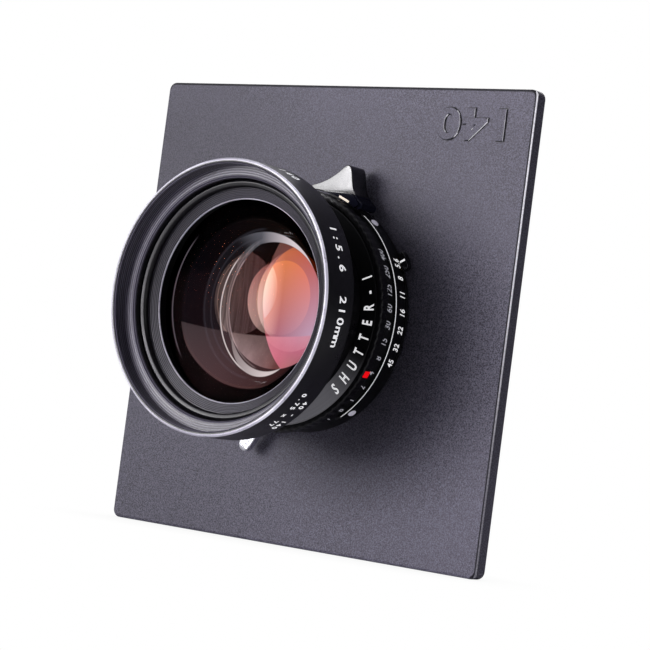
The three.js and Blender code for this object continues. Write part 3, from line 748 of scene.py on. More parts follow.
def metal(name, color, rough=0.3, tint=None, lines=12.0, strength=0.1, flat=False):
    """Bare metal with fine marks, round the axis or (flat) along x."""
    mat = new_material(name)
    if flat:
        stretch = 0.6
        vector = mat.combine(mat.mul(mat.x, stretch), mat.mul(mat.y, lines),
                             mat.mul(mat.height, lines))
        lined = mat.noise(scale=1.0, detail=4, vector=vector)
    else:
        lined = mat.turning(lines, around=8.0, detail=4)
    patch = mat.noise(scale=160, detail=4)
    lined_share, patch_share = 0.6, 0.4
    blend = mat.add(mat.mul(lined, lined_share), mat.mul(patch, patch_share))
    color = mat.mix(mat.ramp(blend, (0.35, 0.68)), color, tint or srgb(color, gain=0.72))
    roughness = mat.ramp(lined, (0.3, 0.75), to=(max(rough - 0.07, 0.04), rough + 0.1))
    return mat.finish(color=color, rough=roughness, metal=1.0,
                      normal=mat.bump(lined, strength, distance=0.00003))


def ink(name, color, glow, rough=0.5, wear=0.1):
    # the glow is painted light: the ink shows brighter than the lamps light it
    mat = new_material(name)
    patch = mat.noise(scale=1400, detail=4)
    worn = mat.ramp(patch, (0.5, 0.8))
    color = mat.tinge(color, srgb(color, gain=0.45), worn, strength=wear)
    return mat.finish(color=color, spec=0.3, emission=color, glow=glow,
                      rough=mat.ramp(patch, (0.3, 0.7), to=(rough - 0.06, rough + 0.1)),
                      normal=mat.bump(patch, strength=0.15, distance=0.00003))


def plastic(name, color, rough):
    mat = new_material(name)
    patch = mat.noise(scale=300, detail=4)
    fine = mat.noise(scale=3000, detail=2, rough=0.5)
    return mat.finish(color=mat.mix(mat.ramp(patch, (0.4, 0.7)), color, srgb(color, gain=0.8)),
                      rough=mat.ramp(fine, (0.3, 0.7), to=(rough - 0.08, rough + 0.08)),
                      normal=mat.bump(fine, strength=0.1, distance=0.00004))


def worn_rim_highlight():
    """Bright edges dulled by handling. The pale colour is partly a painted reflection, and the glow,
    growing to the right, is a painted highlight.
    """
    mat = new_material("worn_rim_highlight")
    turning = mat.turning(lines=9.0, around=5.0)
    patch = mat.noise(scale=90, detail=4)
    color = mat.mix(mat.ramp(patch, (0.35, 0.68)), "b4b1bf", "dcdae6")
    dulled = mat.ramp(mat.noise(scale=700, detail=4, rough=0.65), (0.56, 0.72))
    color = mat.tinge(color, "4a4852", dulled, strength=0.5)
    return mat.finish(color=color, rough=mat.ramp(turning, (0.3, 0.7), to=(0.24, 0.4)),
                      normal=mat.bump(turning, strength=0.08, distance=0.00004),
                      # painted highlight: a glow that grows to the right
                      emission=color, glow=mat.ramp(mat.x, (-10.0, 34.0), to=(0.04, 0.5)))


def inner_step():
    """Turned steps inside the rim: fine lines, painted shade in the cuts, painted highlights on the
    lands, and painted light brighter on the left.
    """
    mat = new_material("inner_step")
    turning = mat.turning(lines=7.0, around=5.0)
    wave_rate = 8.4     # radians to the millimetre
    wave = mat.math("SINE", mat.mul(mat.add(mat.radius, mat.height), wave_rate))
    # painted shade: the thread cuts are drawn dark
    cut = mat.ramp(wave, (0.1, 0.8))
    color = mat.mix(mat.ramp(turning, (0.32, 0.68)), "3b3745", "656171")
    color = mat.tinge(color, "131217", cut, strength=0.75)
    # painted highlights: the lands are drawn pale
    land_highlight = mat.ramp(wave, (-0.98, -0.85), to=(0.6, 0.0))
    color = mat.mix(land_highlight, color, "a09dac")
    # painted light: brighter on the left
    color = mat.scale(color, mat.ramp(mat.x, (-36.0, 0.0), to=(1.4, 0.9)))
    return mat.finish(color=color, rough=mat.ramp(turning, (0.3, 0.7), to=(0.3, 0.45)),
                      normal=mat.bump(wave, strength=0.25, distance=0.00006))


def name_face():
    """Satin black face with a painted reflection: a pale glowing patch at its lower right."""
    mat = new_material("name_face_black")
    turning = mat.turning(lines=6.0, around=6.0)
    fine = mat.noise(scale=2600)
    # painted reflection: a pale patch that glows, at the lower right of the face
    reflection_end = mat.fall(mat.turns, (-0.150, -0.045))
    reflection_start = mat.ramp(mat.turns, (-0.30, -0.24))
    color = mat.mix(mat.mul(reflection_end, reflection_start), "0b0b0e", "67666e")
    color = mat.mix(mat.ramp(turning, (0.3, 0.7), to=(0.0, 0.3)), color, "0a0a0c")
    reflection_glow = 0.075
    return mat.finish(color=color, rough=mat.ramp(fine, (0.3, 0.7), to=(0.38, 0.5)), spec=0.4,
                      emission=(1.0, 0.98, 1.08),
                      glow=mat.mul(mat.mul(reflection_end, reflection_start), reflection_glow),
                      normal=mat.bump(turning, strength=0.1, distance=0.00004))


BOARD = board_paint()
SATIN = black_metal("satin_black", "0e0d11", rough=0.33)
MATT = black_metal("matt_black_baffle", "0a0a0b", rough=0.5, lines=14.0, strength=0.2, wear=0.0)
GROOVED = black_metal("grooved_baffle", "37343f", rough=0.42, lines=14.0, strength=0.15, wear=0.0)
WALL = black_metal("wall_black", "101012", rough=0.42, lines=6.0, strength=0.1, grain=0.4)
GLOSS = gloss_black("gloss_black")
PADDLE = gloss_black("gloss_black_lever", dull_base=True)
STEEL = metal("bare_steel", "a9abb0")
SILVER = metal("polished_silver", "e2e2e6", rough=0.1, tint="c6c8ce", strength=0.03, flat=True)
RIM = worn_rim_highlight()
STEP = inner_step()
NAME = name_face()
# very dark black: the cocking lever arm's own colour, and painted shadow in the cone's grooves and
# round the board's size mark
DARK = black_metal("black_and_painted_shadow", "09080b", rough=0.6, lines=14.0, strength=0.1, wear=0.0)
BRASS = metal("brass", "b58d47", tint="8f6c33")
BLADE = metal("blade_steel", "34363b", rough=0.42, tint="222327", lines=5.0, flat=True)
INSULATOR = plastic("insulator", "d8d4c8", rough=0.55)
WHITE = ink("white_ink", "f4f4f6", glow=0.72)
GREY = ink("grey_ink", "a4a4ac", glow=0.62, wear=0.2)
RED = ink("red_ink", "f00a14", glow=0.75, rough=0.45, wear=0.05)
CREAM = ink("cream_ink", "f2e6d6", glow=0.8)
EDGE_BLACK = plastic("edge_blackening", "0b0b0c", rough=0.6)


# ================================================================== pieces
# Turned profiles are (radius, h, optional corner cut); flat outlines are (x, y, optional cut).

# ---- lens board: loops of matching points, from the hole out over the front, round the edge
# and back in behind
BOARD_HALF, BOARD_CORNER, BOARD_EDGE = 70.0, 2.5, 0.85


def rounded_square(half, corner, side_steps=24, corner_steps=8):
    """Points round a square with rounded corners, starting at the middle of the right side."""
    points = []
    straight = half - corner
    steps = side_steps // 2
    for quarter in range(4):
        side = [(half, straight * i / steps) for i in range(steps)]
        for i in range(corner_steps):
            x, y = polar(corner, 90 * i / corner_steps)
            side.append((straight + x, straight + y))
        side += [(straight - straight * i / steps, half) for i in range(steps)]
        points += turn(side, 90 * quarter)
    return points


def build_board():
    angles = [math.atan2(p[1], p[0]) for p in rounded_square(BOARD_HALF, BOARD_CORNER)]
    count = len(angles)

    def ring(radius, height):
        return [(radius * math.cos(a), radius * math.sin(a), height) for a in angles]

    def square(half, corner, height):
        return [(*p, height) for p in rounded_square(half, corner)]

    def inset(depth, height):
        return square(BOARD_HALF - depth, BOARD_CORNER - depth, height)

    def between(inner, outer, share):
        return [tuple(np.array(p) * (1 - share) + np.array(q) * share)
                for p, q in zip(inner, outer)]

    def quarter(steps, first=0):
        """Sine and cosine through a right angle."""
        angles = [90 * q / steps * DEG for q in range(first, steps + 1)]
        return [(math.sin(a), math.cos(a)) for a in angles]

    edge = BOARD_EDGE
    loops = [ring(20.9, -0.25), ring(21.15, 0.0), ring(21.25, 0.0)]
    loops += [between(ring(21.15, 0), inset(edge, 0.0), t) for t in (0.25, 0.5, 0.75, 0.9)]
    loops.append(inset(0.95, 0.0))
    loops += [inset(edge - edge * sin, -edge + edge * cos) for sin, cos in quarter(6)]
    loops += [inset(0, -0.95), inset(0, -4.0)]
    loops += [inset(0.5 - 0.5 * cos, -4.1 - 0.5 * sin) for sin, cos in quarter(4)]
    loops += [inset(0.6, -4.6), square(64.45, 2.4, -4.6)]
    loops += [square(64.35 - 0.35 * sin, 2.2, -4.6 + 0.35 * (1 - cos)) for sin, cos in quarter(3)]
    loops += [square(64.0, 2.2, -4.15), square(64.0, 2.0, -2.7), square(64.0, 2.0, -2.6)]
    loops += [square(64.0 - 0.4 * (1 - cos), 1.8, -2.6 + 0.4 * sin) for sin, cos in quarter(3, 1)]
    loops.append(square(63.5, 1.8, -2.2))
    loops += [between(square(63.6, 1.8, -2.2), ring(21.15, -2.2), t) for t in (0.1, 0.4, 0.7)]
    loops += [ring(21.25, -2.2), ring(21.15, -2.2), ring(20.9, -1.95)]
    faces = []
    for j in range(len(loops)):
        j2 = (j + 1) % len(loops)
        for i in range(count):
            i2 = (i + 1) % count
            faces.append((j * count + i, j * count + i2, j2 * count + i2, j2 * count + i))
    return shaded("board_plate", np.array([p for loop in loops for p in loop]), faces, BOARD)


board = build_board()
board.modifiers.clear()
stand_in(board, "board_paint", node="lens_board")


def size_mark(name, material, thick, offset, height, sharp=None):
    """The board's size, raised on its face, upside down."""
    verts, faces = lettering("140", 12.6, thick=thick, offset=offset, spacing=1.12, narrow=1.3)
    x, y = 50.0, 59.9
    verts = np.stack([x - verts[:, 0], y - verts[:, 1], height + verts[:, 2] - 0.03], -1)
    return shaded(name, verts, faces, material, sharp=sharp)


size = size_mark("board_size_mark", BOARD, thick=0.6, offset=0.36, height=0.0, sharp=40)
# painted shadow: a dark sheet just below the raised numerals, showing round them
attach(size_mark("board_size_mark_shadow", DARK, thick=0.1, offset=0.62, height=-0.045), ROOT)
bevel = size.modifiers.new("bevel", "BEVEL")
bevel.width = 0.0001
bevel.segments = 2
bevel.limit_method = "ANGLE"
bevel.angle_limit = 50 * DEG
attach(size, ROOT)

# ---- lock ring behind the board, with four notches
lock = turned("board_lock_ring_fine", [(20.8, -5.0), (25.5, -5.0), (25.5, -2.5), (20.8, -2.5)],
              SATIN, seg=144, cut=0.25)
carve(lock, [slab([turn(box(24.0, 27, -1.3, 1.3), a)], -5.6, -3.6) for a in (45, 135, 225, 315)])
stand_in(lock)

# ---- shutter housing, with slots in its wall for the levers
housing = turned("shutter_housing_fine", [
    (18.2, -5), (20.5, -5, 0.3), (20.5, 0.3, 0), (HOUSING_R, 0.3, 0.2), (HOUSING_R, 11.4, 0.25),
    (34.1, 11.4, 0.1), (34.1, 8.2, 0), (33.5, 8.2, 0), (33.5, 4.85, 0), (33.0, 4.85, 0),
    (33.0, 1.4, 0), (16.2, 1.4, 0.1), (16.2, 0.1, 0.05), (18.2, 0.1, 0)], WALL, seg=216)
# start angle, end angle, steps, low, high
WALL_SLOTS = [
    (STOP_ANGLE - STOP_SWEEP - 4.6, STOP_ANGLE + 4.6, 60, 1.55, 2.6),
    (FOCUS_ANGLE - 3.8, FOCUS_ANGLE + FOCUS_SWEEP + 3.8, 30, 7.35, 8.25),
    (COCK_ANGLE - 6, COCK_ANGLE + COCK_SWEEP + 6, 60, 9.2, 12.5),
    (-113.5, -99.5, 20, 9.2, 12.5)]
carve(housing, [slab([sector(32, 37, start, end, steps)], low, high)
                for start, end, steps, low, high in WALL_SLOTS])
stand_in(housing)


# ---- aperture scale plate and its two screws
def scale_band():
    """Curved band with rounded corners: an upper and a lower edge line on three layers."""
    start, end, low, high = -57.0, 58.5, 2.9, 7.7
    inner, outer = 35.65, SCALE_R
    corner, chamfer = 0.8, 0.07
    corner_angle = math.degrees(corner / outer)
    steps = 150
    quarter = [90 * i / 6 * DEG for i in range(7)]
    upper = [(start + corner_angle * (1 - math.cos(q)), high - corner + corner * math.sin(q))
             for q in quarter]
    upper += [(start + corner_angle + (end - start - 2 * corner_angle) * i / steps, high)
              for i in range(1, steps)]
    upper += [(end - corner_angle * (1 - math.sin(q)), high - corner + corner * math.cos(q))
              for q in quarter]
    lower = [(angle, low + high - height) for angle, height in upper]
    count = len(upper)
    verts, faces = [], []
    for radius, inset in ((inner, 0.0), (outer - chamfer, 0.0), (outer, chamfer)):
        for angle, height in upper + lower:
            inwards = math.copysign(inset, height - (low + high) / 2)
            verts.append((*polar(radius, angle), height - inwards))
    for layer in range(2):
        o = layer * 2 * count
        p = o + 2 * count
        for i in range(count - 1):
            j = count + i
            faces.append((o + i, o + i + 1, p + i + 1, p + i))
            faces.append((o + j + 1, o + j, p + j, p + j + 1))
        faces.append((o + count, o, p, p + count))
        faces.append((o + count - 1, p - 1, p + 2 * count - 1, p + count - 1))
    for base, step in ((0, 1), (4 * count, -1)):
        for i in range(base, base + count - 1):
            faces.append((i + 1, i, count + i, count + i + 1)[::step])
    return np.array(verts), faces


stand_in(shaded("aperture_scale_fine", *scale_band(), SATIN, sharp=55),
         node="aperture_scale_plate")


def radial_screw(name, angle, height=5.2):
    """Slotted round-headed screw in the housing wall."""
    # the head takes the rim's material, so its pale colour and glow are a painted glint
    ob = turned_out(name, angle, height, [
        (0, 35.6), (0.5, 35.6), (0.5, 36.2), (1.25, 36.2, 0.05), (1.2, 36.5, 0.2),
        (0.7, 36.75, 0.3), (0, 36.78)], RIM, seg=40)
    out, around, up = radial_axes(angle)
    slot_tilt = 0.6     # radians
    along = around * math.cos(slot_tilt) + up * math.sin(slot_tilt)
    across = np.cross(out, along)
    centre = np.array([0, 0, height]) + out * 36.85
    corners = [centre + a * 1.6 * along + b * 0.14 * across + c * 0.2 * out
               for c in (-1, 1) for a, b in ((-1, -1), (1, -1), (1, 1), (-1, 1))]
    faces = [(0, 3, 2, 1), (4, 5, 6, 7), (0, 1, 5, 4), (1, 2, 6, 5), (2, 3, 7, 6), (3, 0, 4, 7)]
    carve(ob, [(np.array(corners), faces)])
    stand_in(ob)


radial_screw("scale_screw_upper_fine", 51.6)
radial_screw("scale_screw_lower_fine", -50)

# ---- speed ring with its serrated edge
NOTCHES = 86


def serrate(theta, radii, heights):
    """Notches in the outermost part of the ring."""
    phase, depth, start = 0.02, 0.17, 36.05
    cut = np.clip((np.cos(NOTCHES * (theta - phase)) + 0.15) / 0.5, 0, 1)
    cut = cut * cut * (3 - 2 * cut)
    return radii - np.where(radii > start, depth * cut * np.clip((radii - start) / 0.2, 0, 1), 0)


stand_in(turned("speed_ring_fine", [
    (25.2, 12.5), (35.6, 12.5), (35.6, 11.8), (36.3, 11.8, 0.2), (DIAL_R, 12.1, 0.1),
    (DIAL_R, 14.7, 0.1), (36.2, 15.0, 0.15), (34.8, 15.0, 0.15), (34.8, 13.0, 0), (25.2, 13.0)],
    SATIN, seg=NOTCHES * 8, steps=2, radial=serrate), body="speed_dial")

# ---- cover plate, name ring and the three screws through them
SCREWS = [polar(23.2, a) for a in (30, 150, 270)]


def screw_holes(radius, low, high):
    return [slab([circle(radius, 24, x, y)], low, high) for x, y in SCREWS]


cover = turned("cover_plate_fine", [
    (21.9, 10.95), (24.3, 10.95), (24.3, 11.7), (35.2, 11.7, 0.1), (35.2, 12.2, 0.1),
    (21.9, 12.2)], SATIN)
carve(cover, screw_holes(0.8, 10, 13))
stand_in(cover)
name_ring = turned("name_ring_fine", [
    (21.9, 13.4), (34.4, 13.4, 0.1), (34.4, 14.5, 0.1), (34.1, NAME_FACE_H, 0.15),
    (29.6, NAME_FACE_H, 0), (29.45, 14.72, 0), (29.3, NAME_FACE_H, 0), (21.9, NAME_FACE_H)],
    NAME, seg=216)
carve(name_ring, screw_holes(0.8, 13, 14.2) + screw_holes(1.25, 14.0, 15.5))
stand_in(name_ring)
for i, (x, y) in enumerate(SCREWS):
    screw = turned_at(f"cover_screw_fine_{i + 1}", x, y, [
        (0, 11.0), (0.6, 11.0), (0.6, 14.1), (1.1, 14.1, 0.03), (1.1, 14.55, 0.15),
        (0.9, 14.75, 0.1), (0, 14.75)], STEEL, seg=32)
    carve(screw, [slab([turn(box(-2, 2, -0.15, 0.15), 20 + 50 * i, x, y)], 14.5, 15.2)])
    stand_in(screw, "bare_steel")


# ---- front barrel, with the filter thread cut in the rim
def thread(inner, outer, start, stop, drops):
    """Grooves from start down to stop. drops: depths of the four points of a groove."""
    pitch = 0.75
    points = []
    while start > stop:
        points += [(radius, start - drop, cut) for radius, drop, cut
                   in zip((inner, outer, outer, inner), drops, (0.04, 0.03, 0.03, 0.04))]
        start -= pitch
    return points


def barrel_slot(p, q):
    """1 on the worn rim with its painted highlight, 2 on the steps inside it with their painted shade
    and highlights, 0 elsewhere.
    """
    radius, height = (p[0] + q[0]) / 2, (p[1] + q[1]) / 2
    if min(p[1], q[1]) > 45.35 and radius > 39.38:
        return 1
    return 2 if 34.0 < radius < 38.95 and height > 40.0 else 0


stand_in(turned("front_barrel_fine", [
    (18, 9.8, 0.1), (19.9, 9.8, 0.15), (19.9, 15.1, 0), (28.8, 15.1, 0.2), (28.8, 21, 0.5),
    (33.2, 26.5, 0.8), (33.6, 32.4, 0.5), (39.6, 33, 0.4), (BARREL_R, 33.6, 0.5),
    (BARREL_R, 45.4, 0.15), (39.8, 46, 0.15), (39.38, 46, 0), (39, 46, 0.2), (38.5, 45.5, 0.1),
    *thread(38.5, 38.92, 45.1, 41.9, (0, 0.28, 0.36, 0.64)),
    (38.5, 41.5, 0.15), (35.7, 41.2, 0.2), (35.1, 40.5, 0.2), (35.1, 34.95, 0),
    (30.8, 34.95, 0.1), (30.8, 31.8), (24.8, 30), (24.8, 15.9), (18, 15.9)],
    [SATIN, RIM, STEP], seg=240, row_slot=barrel_slot))

stand_in(turned("front_retaining_ring_fine", [
    (32.8, 37.5), (34.9, 37.5), (34.9, 38.7, 0.15), (34.2, 39.3, 0.2), (33.2, 39.0, 0.2),
    (32.8, 38.3, 0.15)], SATIN, seg=216))

# ---- the stepped cone: fine grooves down to the glass
CONE_TOP, CONE_FOOT = np.array([32.9, 37.2]), np.array([29.75, 35.97])
GROOVES, GROOVE_DEPTH = 7, 0.16
slope = CONE_FOOT - CONE_TOP
outwards = np.array([-slope[1], slope[0]]) / np.linalg.norm(slope)
grooves = []
for i in range(GROOVES):
    land_start, land_end, groove_end = (CONE_TOP + slope * ((i + share) / GROOVES)
                                        for share in (0, 0.62, 0.8))
    sunk = outwards * GROOVE_DEPTH
    for point in (land_start, land_end, land_end - sunk, groove_end - sunk):
        grooves.append((*point, 0.02))


def baffle_slot(p, q):
    """1 on the inner edge, with the rim's painted highlight; 2 below the lands of the cone, painted
    shade in the grooves; 0 elsewhere.
    """
    middle = (np.array(p[:2]) + np.array(q[:2])) / 2
    if (p[0] + q[0]) / 2 < 29.86 and min(p[1], q[1]) > 35.75:
        return 1
    in_cone = CONE_FOOT[0] < middle[0] < CONE_TOP[0]
    return 2 if in_cone and float((middle - CONE_TOP) @ outwards) < -0.05 else 0


stand_in(turned("front_baffle_ring_fine", [
    (29.6, 35.65, 0.05), (30.9, 35.25, 0), (34.8, 35.25, 0), (34.8, 37.2, 0.05), *grooves,
    (29.6, 35.9, 0.06)], [GROOVED, RIM, DARK], seg=216, steps=2, row_slot=baffle_slot))


# ---- rear cell, drawn with heights measured backwards
def backwards(points):
    return [(p[0], -p[1], *p[2:]) for p in points]


RIBS = 120


def grip(theta, radii, heights):
    """Ribs in a band round the rear barrel."""
    wave = np.clip(np.cos(RIBS * theta) * 1.6, -1, 1)
    band = (radii > 29.8) & (heights < -8.0) & (heights > -15.0)
    return radii - np.where(band, 0.22 * (0.5 + 0.5 * wave), 0)


stand_in(turned("rear_barrel_fine", backwards([
    (16.6, 0.1), (17.9, 0.1, 0.15), (17.9, 5.3, 0), (29.4, 5.3, 0.15), (30, 5.9, 0.15),
    (30, 7.7, 0.05), (29.7, 8.0, 0.05), (30.0, 8.3, 0.05), (30.0, 14.7, 0.05),
    (29.7, 15.0, 0.05), (30, 15.3, 0.05), (30, 29.4, 0.2), (29.5, 30, 0.2), (28.3, 30, 0.15),
    *thread(28.0, 28.35, 29.4, 25.8, (0.1, 0.36, 0.42, 0.66)),
    (28, 23.6, 0.05), (25.8, 23.6, 0.1), (25.8, 20.7), (21.3, 19.4), (21.3, 7.4), (16.6, 7.4)]),
    SATIN, seg=RIBS * 4, radial=grip, steps=2))
stand_in(turned("rear_spacer_fine", backwards([
    (18.9, 7.7), (21.0, 7.7), (21.0, 11.1), (19.4, 11.1), (18.9, 10.4)]), MATT, seg=144))
rear_ring = turned("rear_retaining_ring_fine", backwards([
    (24.7, 23.9), (27.7, 23.9), (27.7, 25.6, 0.15), (25.6, 25.6, 0.2), (24.7, 24.6, 0.15)]),
    SATIN)
carve(rear_ring, [slab([turn(box(26.2, 28.5, -0.7, 0.7), a)], -26.5, -25.0) for a in (0, 180)])
stand_in(rear_ring)

# ---- cocking lever: paddle outside the wall, foot and arm. Outline in (radius, angle).
COCKING = "cocking_control"
PADDLE_OUTLINE = [
    (36.9, 87.0), (37.6, 88.4), (38.3, 87.6), (39.3, 83.6), (41.1, 79.5), (43.7, 76.0),
    (45.9, 74.0), (46.6, 72.9), (46.5, 71.6), (45.5, 70.2), (43.0, 68.0), (41.0, 65.6),
    (39.6, 61.5), (39.3, 58.2), (38.5, 57.4), (37.0, 58.2), (36.8, 66), (36.8, 79)]
stand_in(plate("cocking_lever_paddle", [spline([polar(*p) for p in PADDLE_OUTLINE], 6)],
               3.0, 10.1, PADDLE, bevel=0.3, res=3, sharp=None),
         "gloss_black", COCKING, node="cocking_lever")
FOOT_OUTLINE = [*[polar(36.85, a) for a in range(60, 81, 2)],
                (6.6, 36.7), (9.0, 36.5), (13.4, 36.3), (17.2, 36.05), (18.5, 34.6), (19.9, 33.1)]
foot = plate("cocking_lever_foot", [FOOT_OUTLINE], 9.6, 10.7, PADDLE, bevel=0.1, res=2,
             sharp=None)
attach(foot, COCKING)
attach(plate("cocking_lever_arm", [turn(box(22.7, 37.0, -2.5, 2.5), COCK_ANGLE)], 10.15, 10.66,
              DARK, bevel=0.06), COCKING)
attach(shaded("cocking_lever_mark", *slab([sector(36.87, 37.5, 64.2, 70.4, 10)], 10.64, 10.78),
               CREAM), COCKING)


# ---- aperture lever with its pointer, press focus lever
def hollow_tab(name, outline, angle, low, high, bevel, res, hollow, hollow_low, hollow_high):
    """Lever end outside the wall, hollowed from its root."""
    ob = plate(name, [soften(turn(outline, angle), 0.4)], low, high, GLOSS, bevel=bevel, res=res,
               sharp=None)
    carve(ob, [slab([turn(box(*hollow), angle)], hollow_low, hollow_high)])
    return ob


tab = hollow_tab("aperture_lever_tab",
                 [(36.4, -2.9), (38.3, -2.7), (38.7, -1.6), (38.7, 1.6), (38.3, 2.7), (36.4, 2.9)],
                 STOP_ANGLE, 1.0, 3.1, 0.22, 2, (35, 37.6, -2.3, 2.3), 1.4, 2.65)
stand_in(tab, "gloss_black", "aperture_control", node="aperture_lever")
pointer = slab([turn(box(36.5, 38.35, -0.28, 0.28), STOP_ANGLE)], 3.08, 3.16)
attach(shaded("aperture_pointer", *pointer, WHITE), "aperture_control")
press = hollow_tab("press_focus_lever_fine",
                   [(36.0, -2.2), (40.2, -1.8), (41, -1.0), (41, 1.0), (40.2, 1.8), (36.0, 2.2)],
                   FOCUS_ANGLE, 6.6, 9.0, 0.3, 2, (35, 37.9, -1.8, 1.8), 7.2, 8.35)
stand_in(press, "gloss_black", "press_focus_control")

# ---- release lever, drawn along its length from the post, with its post and spring
POST, TIP = polar(30.6, -104), polar(46.0, -111)
RELEASE_LENGTH = math.hypot(TIP[0] - POST[0], TIP[1] - POST[1])
RELEASE_ANGLE = math.degrees(math.atan2(TIP[1] - POST[1], TIP[0] - POST[0]))


def along_release(points):
    return turn(points, RELEASE_ANGLE, *POST)


eye = slab([along_release([polar(1.9, a) for a in range(60, 301, 12)] + [(7.2, -1.9), (7.2, 1.9)]),
            along_release(circle(1.25, 32))], 9.5, 10.2, 0.06)
nose = slab([along_release(soften([(-1.0, -1.2), (-3.9, 0.2), (-3.9, 1.0), (-0.8, 1.75)], 0.25))],
            9.5, 10.2, 0.05)
web = slab([along_release(box(6.4, 7.4, -1.9, 1.9))], 3.5, 10.15, 0.08)
round_end = [(RELEASE_LENGTH - 2.2 + x, y)
             for x, y in (polar(2.2, a) for a in range(-75, 76, 10))]
outer_arm = slab([along_release([(6.4, -1.9), (RELEASE_LENGTH - 3.2, -2.2), *round_end,
                                 (RELEASE_LENGTH - 3.2, 2.2), (6.4, 1.9)])], 3.4, 5.6, 0.35, 3)
stand_in(fuse("release_lever_fine", [outer_arm, web, eye, nose], SILVER),
         "polished_silver", "release_control")

stand_in(turned_at("release_post_fine", *POST, [
    (0, 9.35), (0.95, 9.35), (0.95, 11.1, 0), (1.5, 11.1, 0.03), (1.5, 11.3, 0.1),
    (1.2, 11.45, 0.1), (0, 11.45)], STEEL, seg=40), "bare_steel")
wire = coil(*POST, radius=1.5, start=40, sweep=540, low=10.45, rise=0.4, steps=80)
coil_end, wire_end = np.array(wire[-1]), np.array([POST[0] - 4.4, POST[1] + 0.6, 10.87])
wire += [tuple(coil_end + (wire_end - coil_end) * k / 8) for k in range(1, 9)]
stand_in(shaded("release_return_spring_fine", *tube(wire, 0.15), STEEL), "bare_steel")

# ---- cable release socket and flash contact: name, angle, profile, material, segments, slot
RADIAL_PIECES = [
    ("cable_release_socket_fine", 220, [
        (0, 35.75), (3.2, 35.75, 0.1), (3.2, 36.6, 0.15), (2.7, 37.0, 0.1), (2.7, 39.4, 0.05),
        (2.55, 39.55, 0.05), (2.55, 39.9, 0.05), (2.7, 40.05, 0.05), (2.7, 42.4, 0.2),
        (2.4, 42.9, 0.15), (1.7, 42.9, 0.1), (1.25, 37.6, 0.1), (0, 37.6)],
     SILVER, 72, "polished_silver"),
    ("sync_shell_fine", 200, [
        (0, 35.75), (2.9, 35.75, 0.1), (2.9, 36.4, 0.1), (2.55, 36.6, 0.05), (2.55, 40.6, 0.1),
        (2.2, 40.6, 0.1), (2.2, 36.9), (0, 36.9)], SILVER, 64, "polished_silver"),
    ("sync_insulator_fine", 200, [
        (0.75, 37.0), (1.9, 37.0), (1.9, 39.6, 0.15), (0.75, 39.6, 0.1)],
     INSULATOR, 48, "insulator"),
    ("sync_pin_fine", 200, [
        (0, 37.0), (0.55, 37.0), (0.55, 40.2, 0.2), (0.3, 40.5, 0.1), (0, 40.5)],
     BRASS, 32, "brass")]
for name, angle, profile, material, seg, slot in RADIAL_PIECES:
    stand_in(turned_out(name, angle, 6.0, profile, material, seg), slot)

# ---- blades. Each has a stud on the pivot circle and a pin in a cam ring.
BLADE_PIVOT = 29.0
STUD_R, PIN_R = 0.55, 0.45
IRIS_LEAVES, SHUTTER_LEAVES = 7, 5
IRIS_ARM, SHUTTER_ARM = 4.5, 4.0        # from stud to pin
SHUTTER_START, SHUTTER_REST = 26, 36    # first pivot's angle, and the blades' own turn at rest


def spin(x, y, angle):
    cos, sin = math.cos(angle * DEG), math.sin(angle * DEG)
    return x * cos - y * sin, x * sin + y * cos


def build_blade(name, body, around, height, rest, inner, outer, end, arm, thick, stud_to, pin_to):
    """A crescent blade. stud_to and pin_to are the heights its stud and pin reach."""
    def local(points):
        return [(q[0] - BLADE_PIVOT, q[1]) for q in points]

    def rod(radius, count, y, reach):
        return slab([circle(radius, count, 0, y)], min(0.05, reach), max(0.05, reach))

    crescent = local([
        *arc(outer, -2, end - 6, 40), polar(outer - 0.5, end - 4.0), polar(outer - 2, end - 1.5),
        polar((inner + outer) / 2, end), polar(inner + 1.2, end - 1),
        *arc(inner, end - 5, -2, 40)])
    root = hull([*circle(1.4, 24), *circle(1.05, 24, 0, -arm), *local(arc(outer, -2, 7, 6)),
                 *local(arc(outer - 4.5, -2, 4, 3))])
    parts = []
    for verts, faces in (slab([crescent], 0, thick), slab([root], 0, thick),
                         rod(STUD_R, 24, 0, stud_to - height), rod(PIN_R, 20, -arm, pin_to - height)):
        x, y = spin(verts[:, 0], verts[:, 1], rest)
        x, y = spin(x + BLADE_PIVOT, y, around)
        parts.append((np.stack([x, y, verts[:, 2] + height], -1), faces))
    stand_in(fuse(name, parts, BLADE, sharp=30), "blade_steel", body)


for k in range(IRIS_LEAVES):
    build_blade(f"iris_blade_fine_{k + 1}", f"iris_leaf_{k + 1}", around=k * 360 / IRIS_LEAVES,
                height=2.65 + k * 0.32, rest=0, inner=15.2, outer=24.5, end=130, arm=IRIS_ARM,
                thick=0.2, stud_to=5.45, pin_to=1.76)
for k in range(SHUTTER_LEAVES):
    build_blade(f"shutter_blade_fine_{k + 1}", f"shutter_leaf_{k + 1}",
                around=SHUTTER_START + k * 72, height=5.72 + k * 0.34, rest=SHUTTER_REST,
                inner=15.8, outer=27.0, end=120, arm=SHUTTER_ARM, thick=0.22,
                stud_to=5.05, pin_to=8.05)


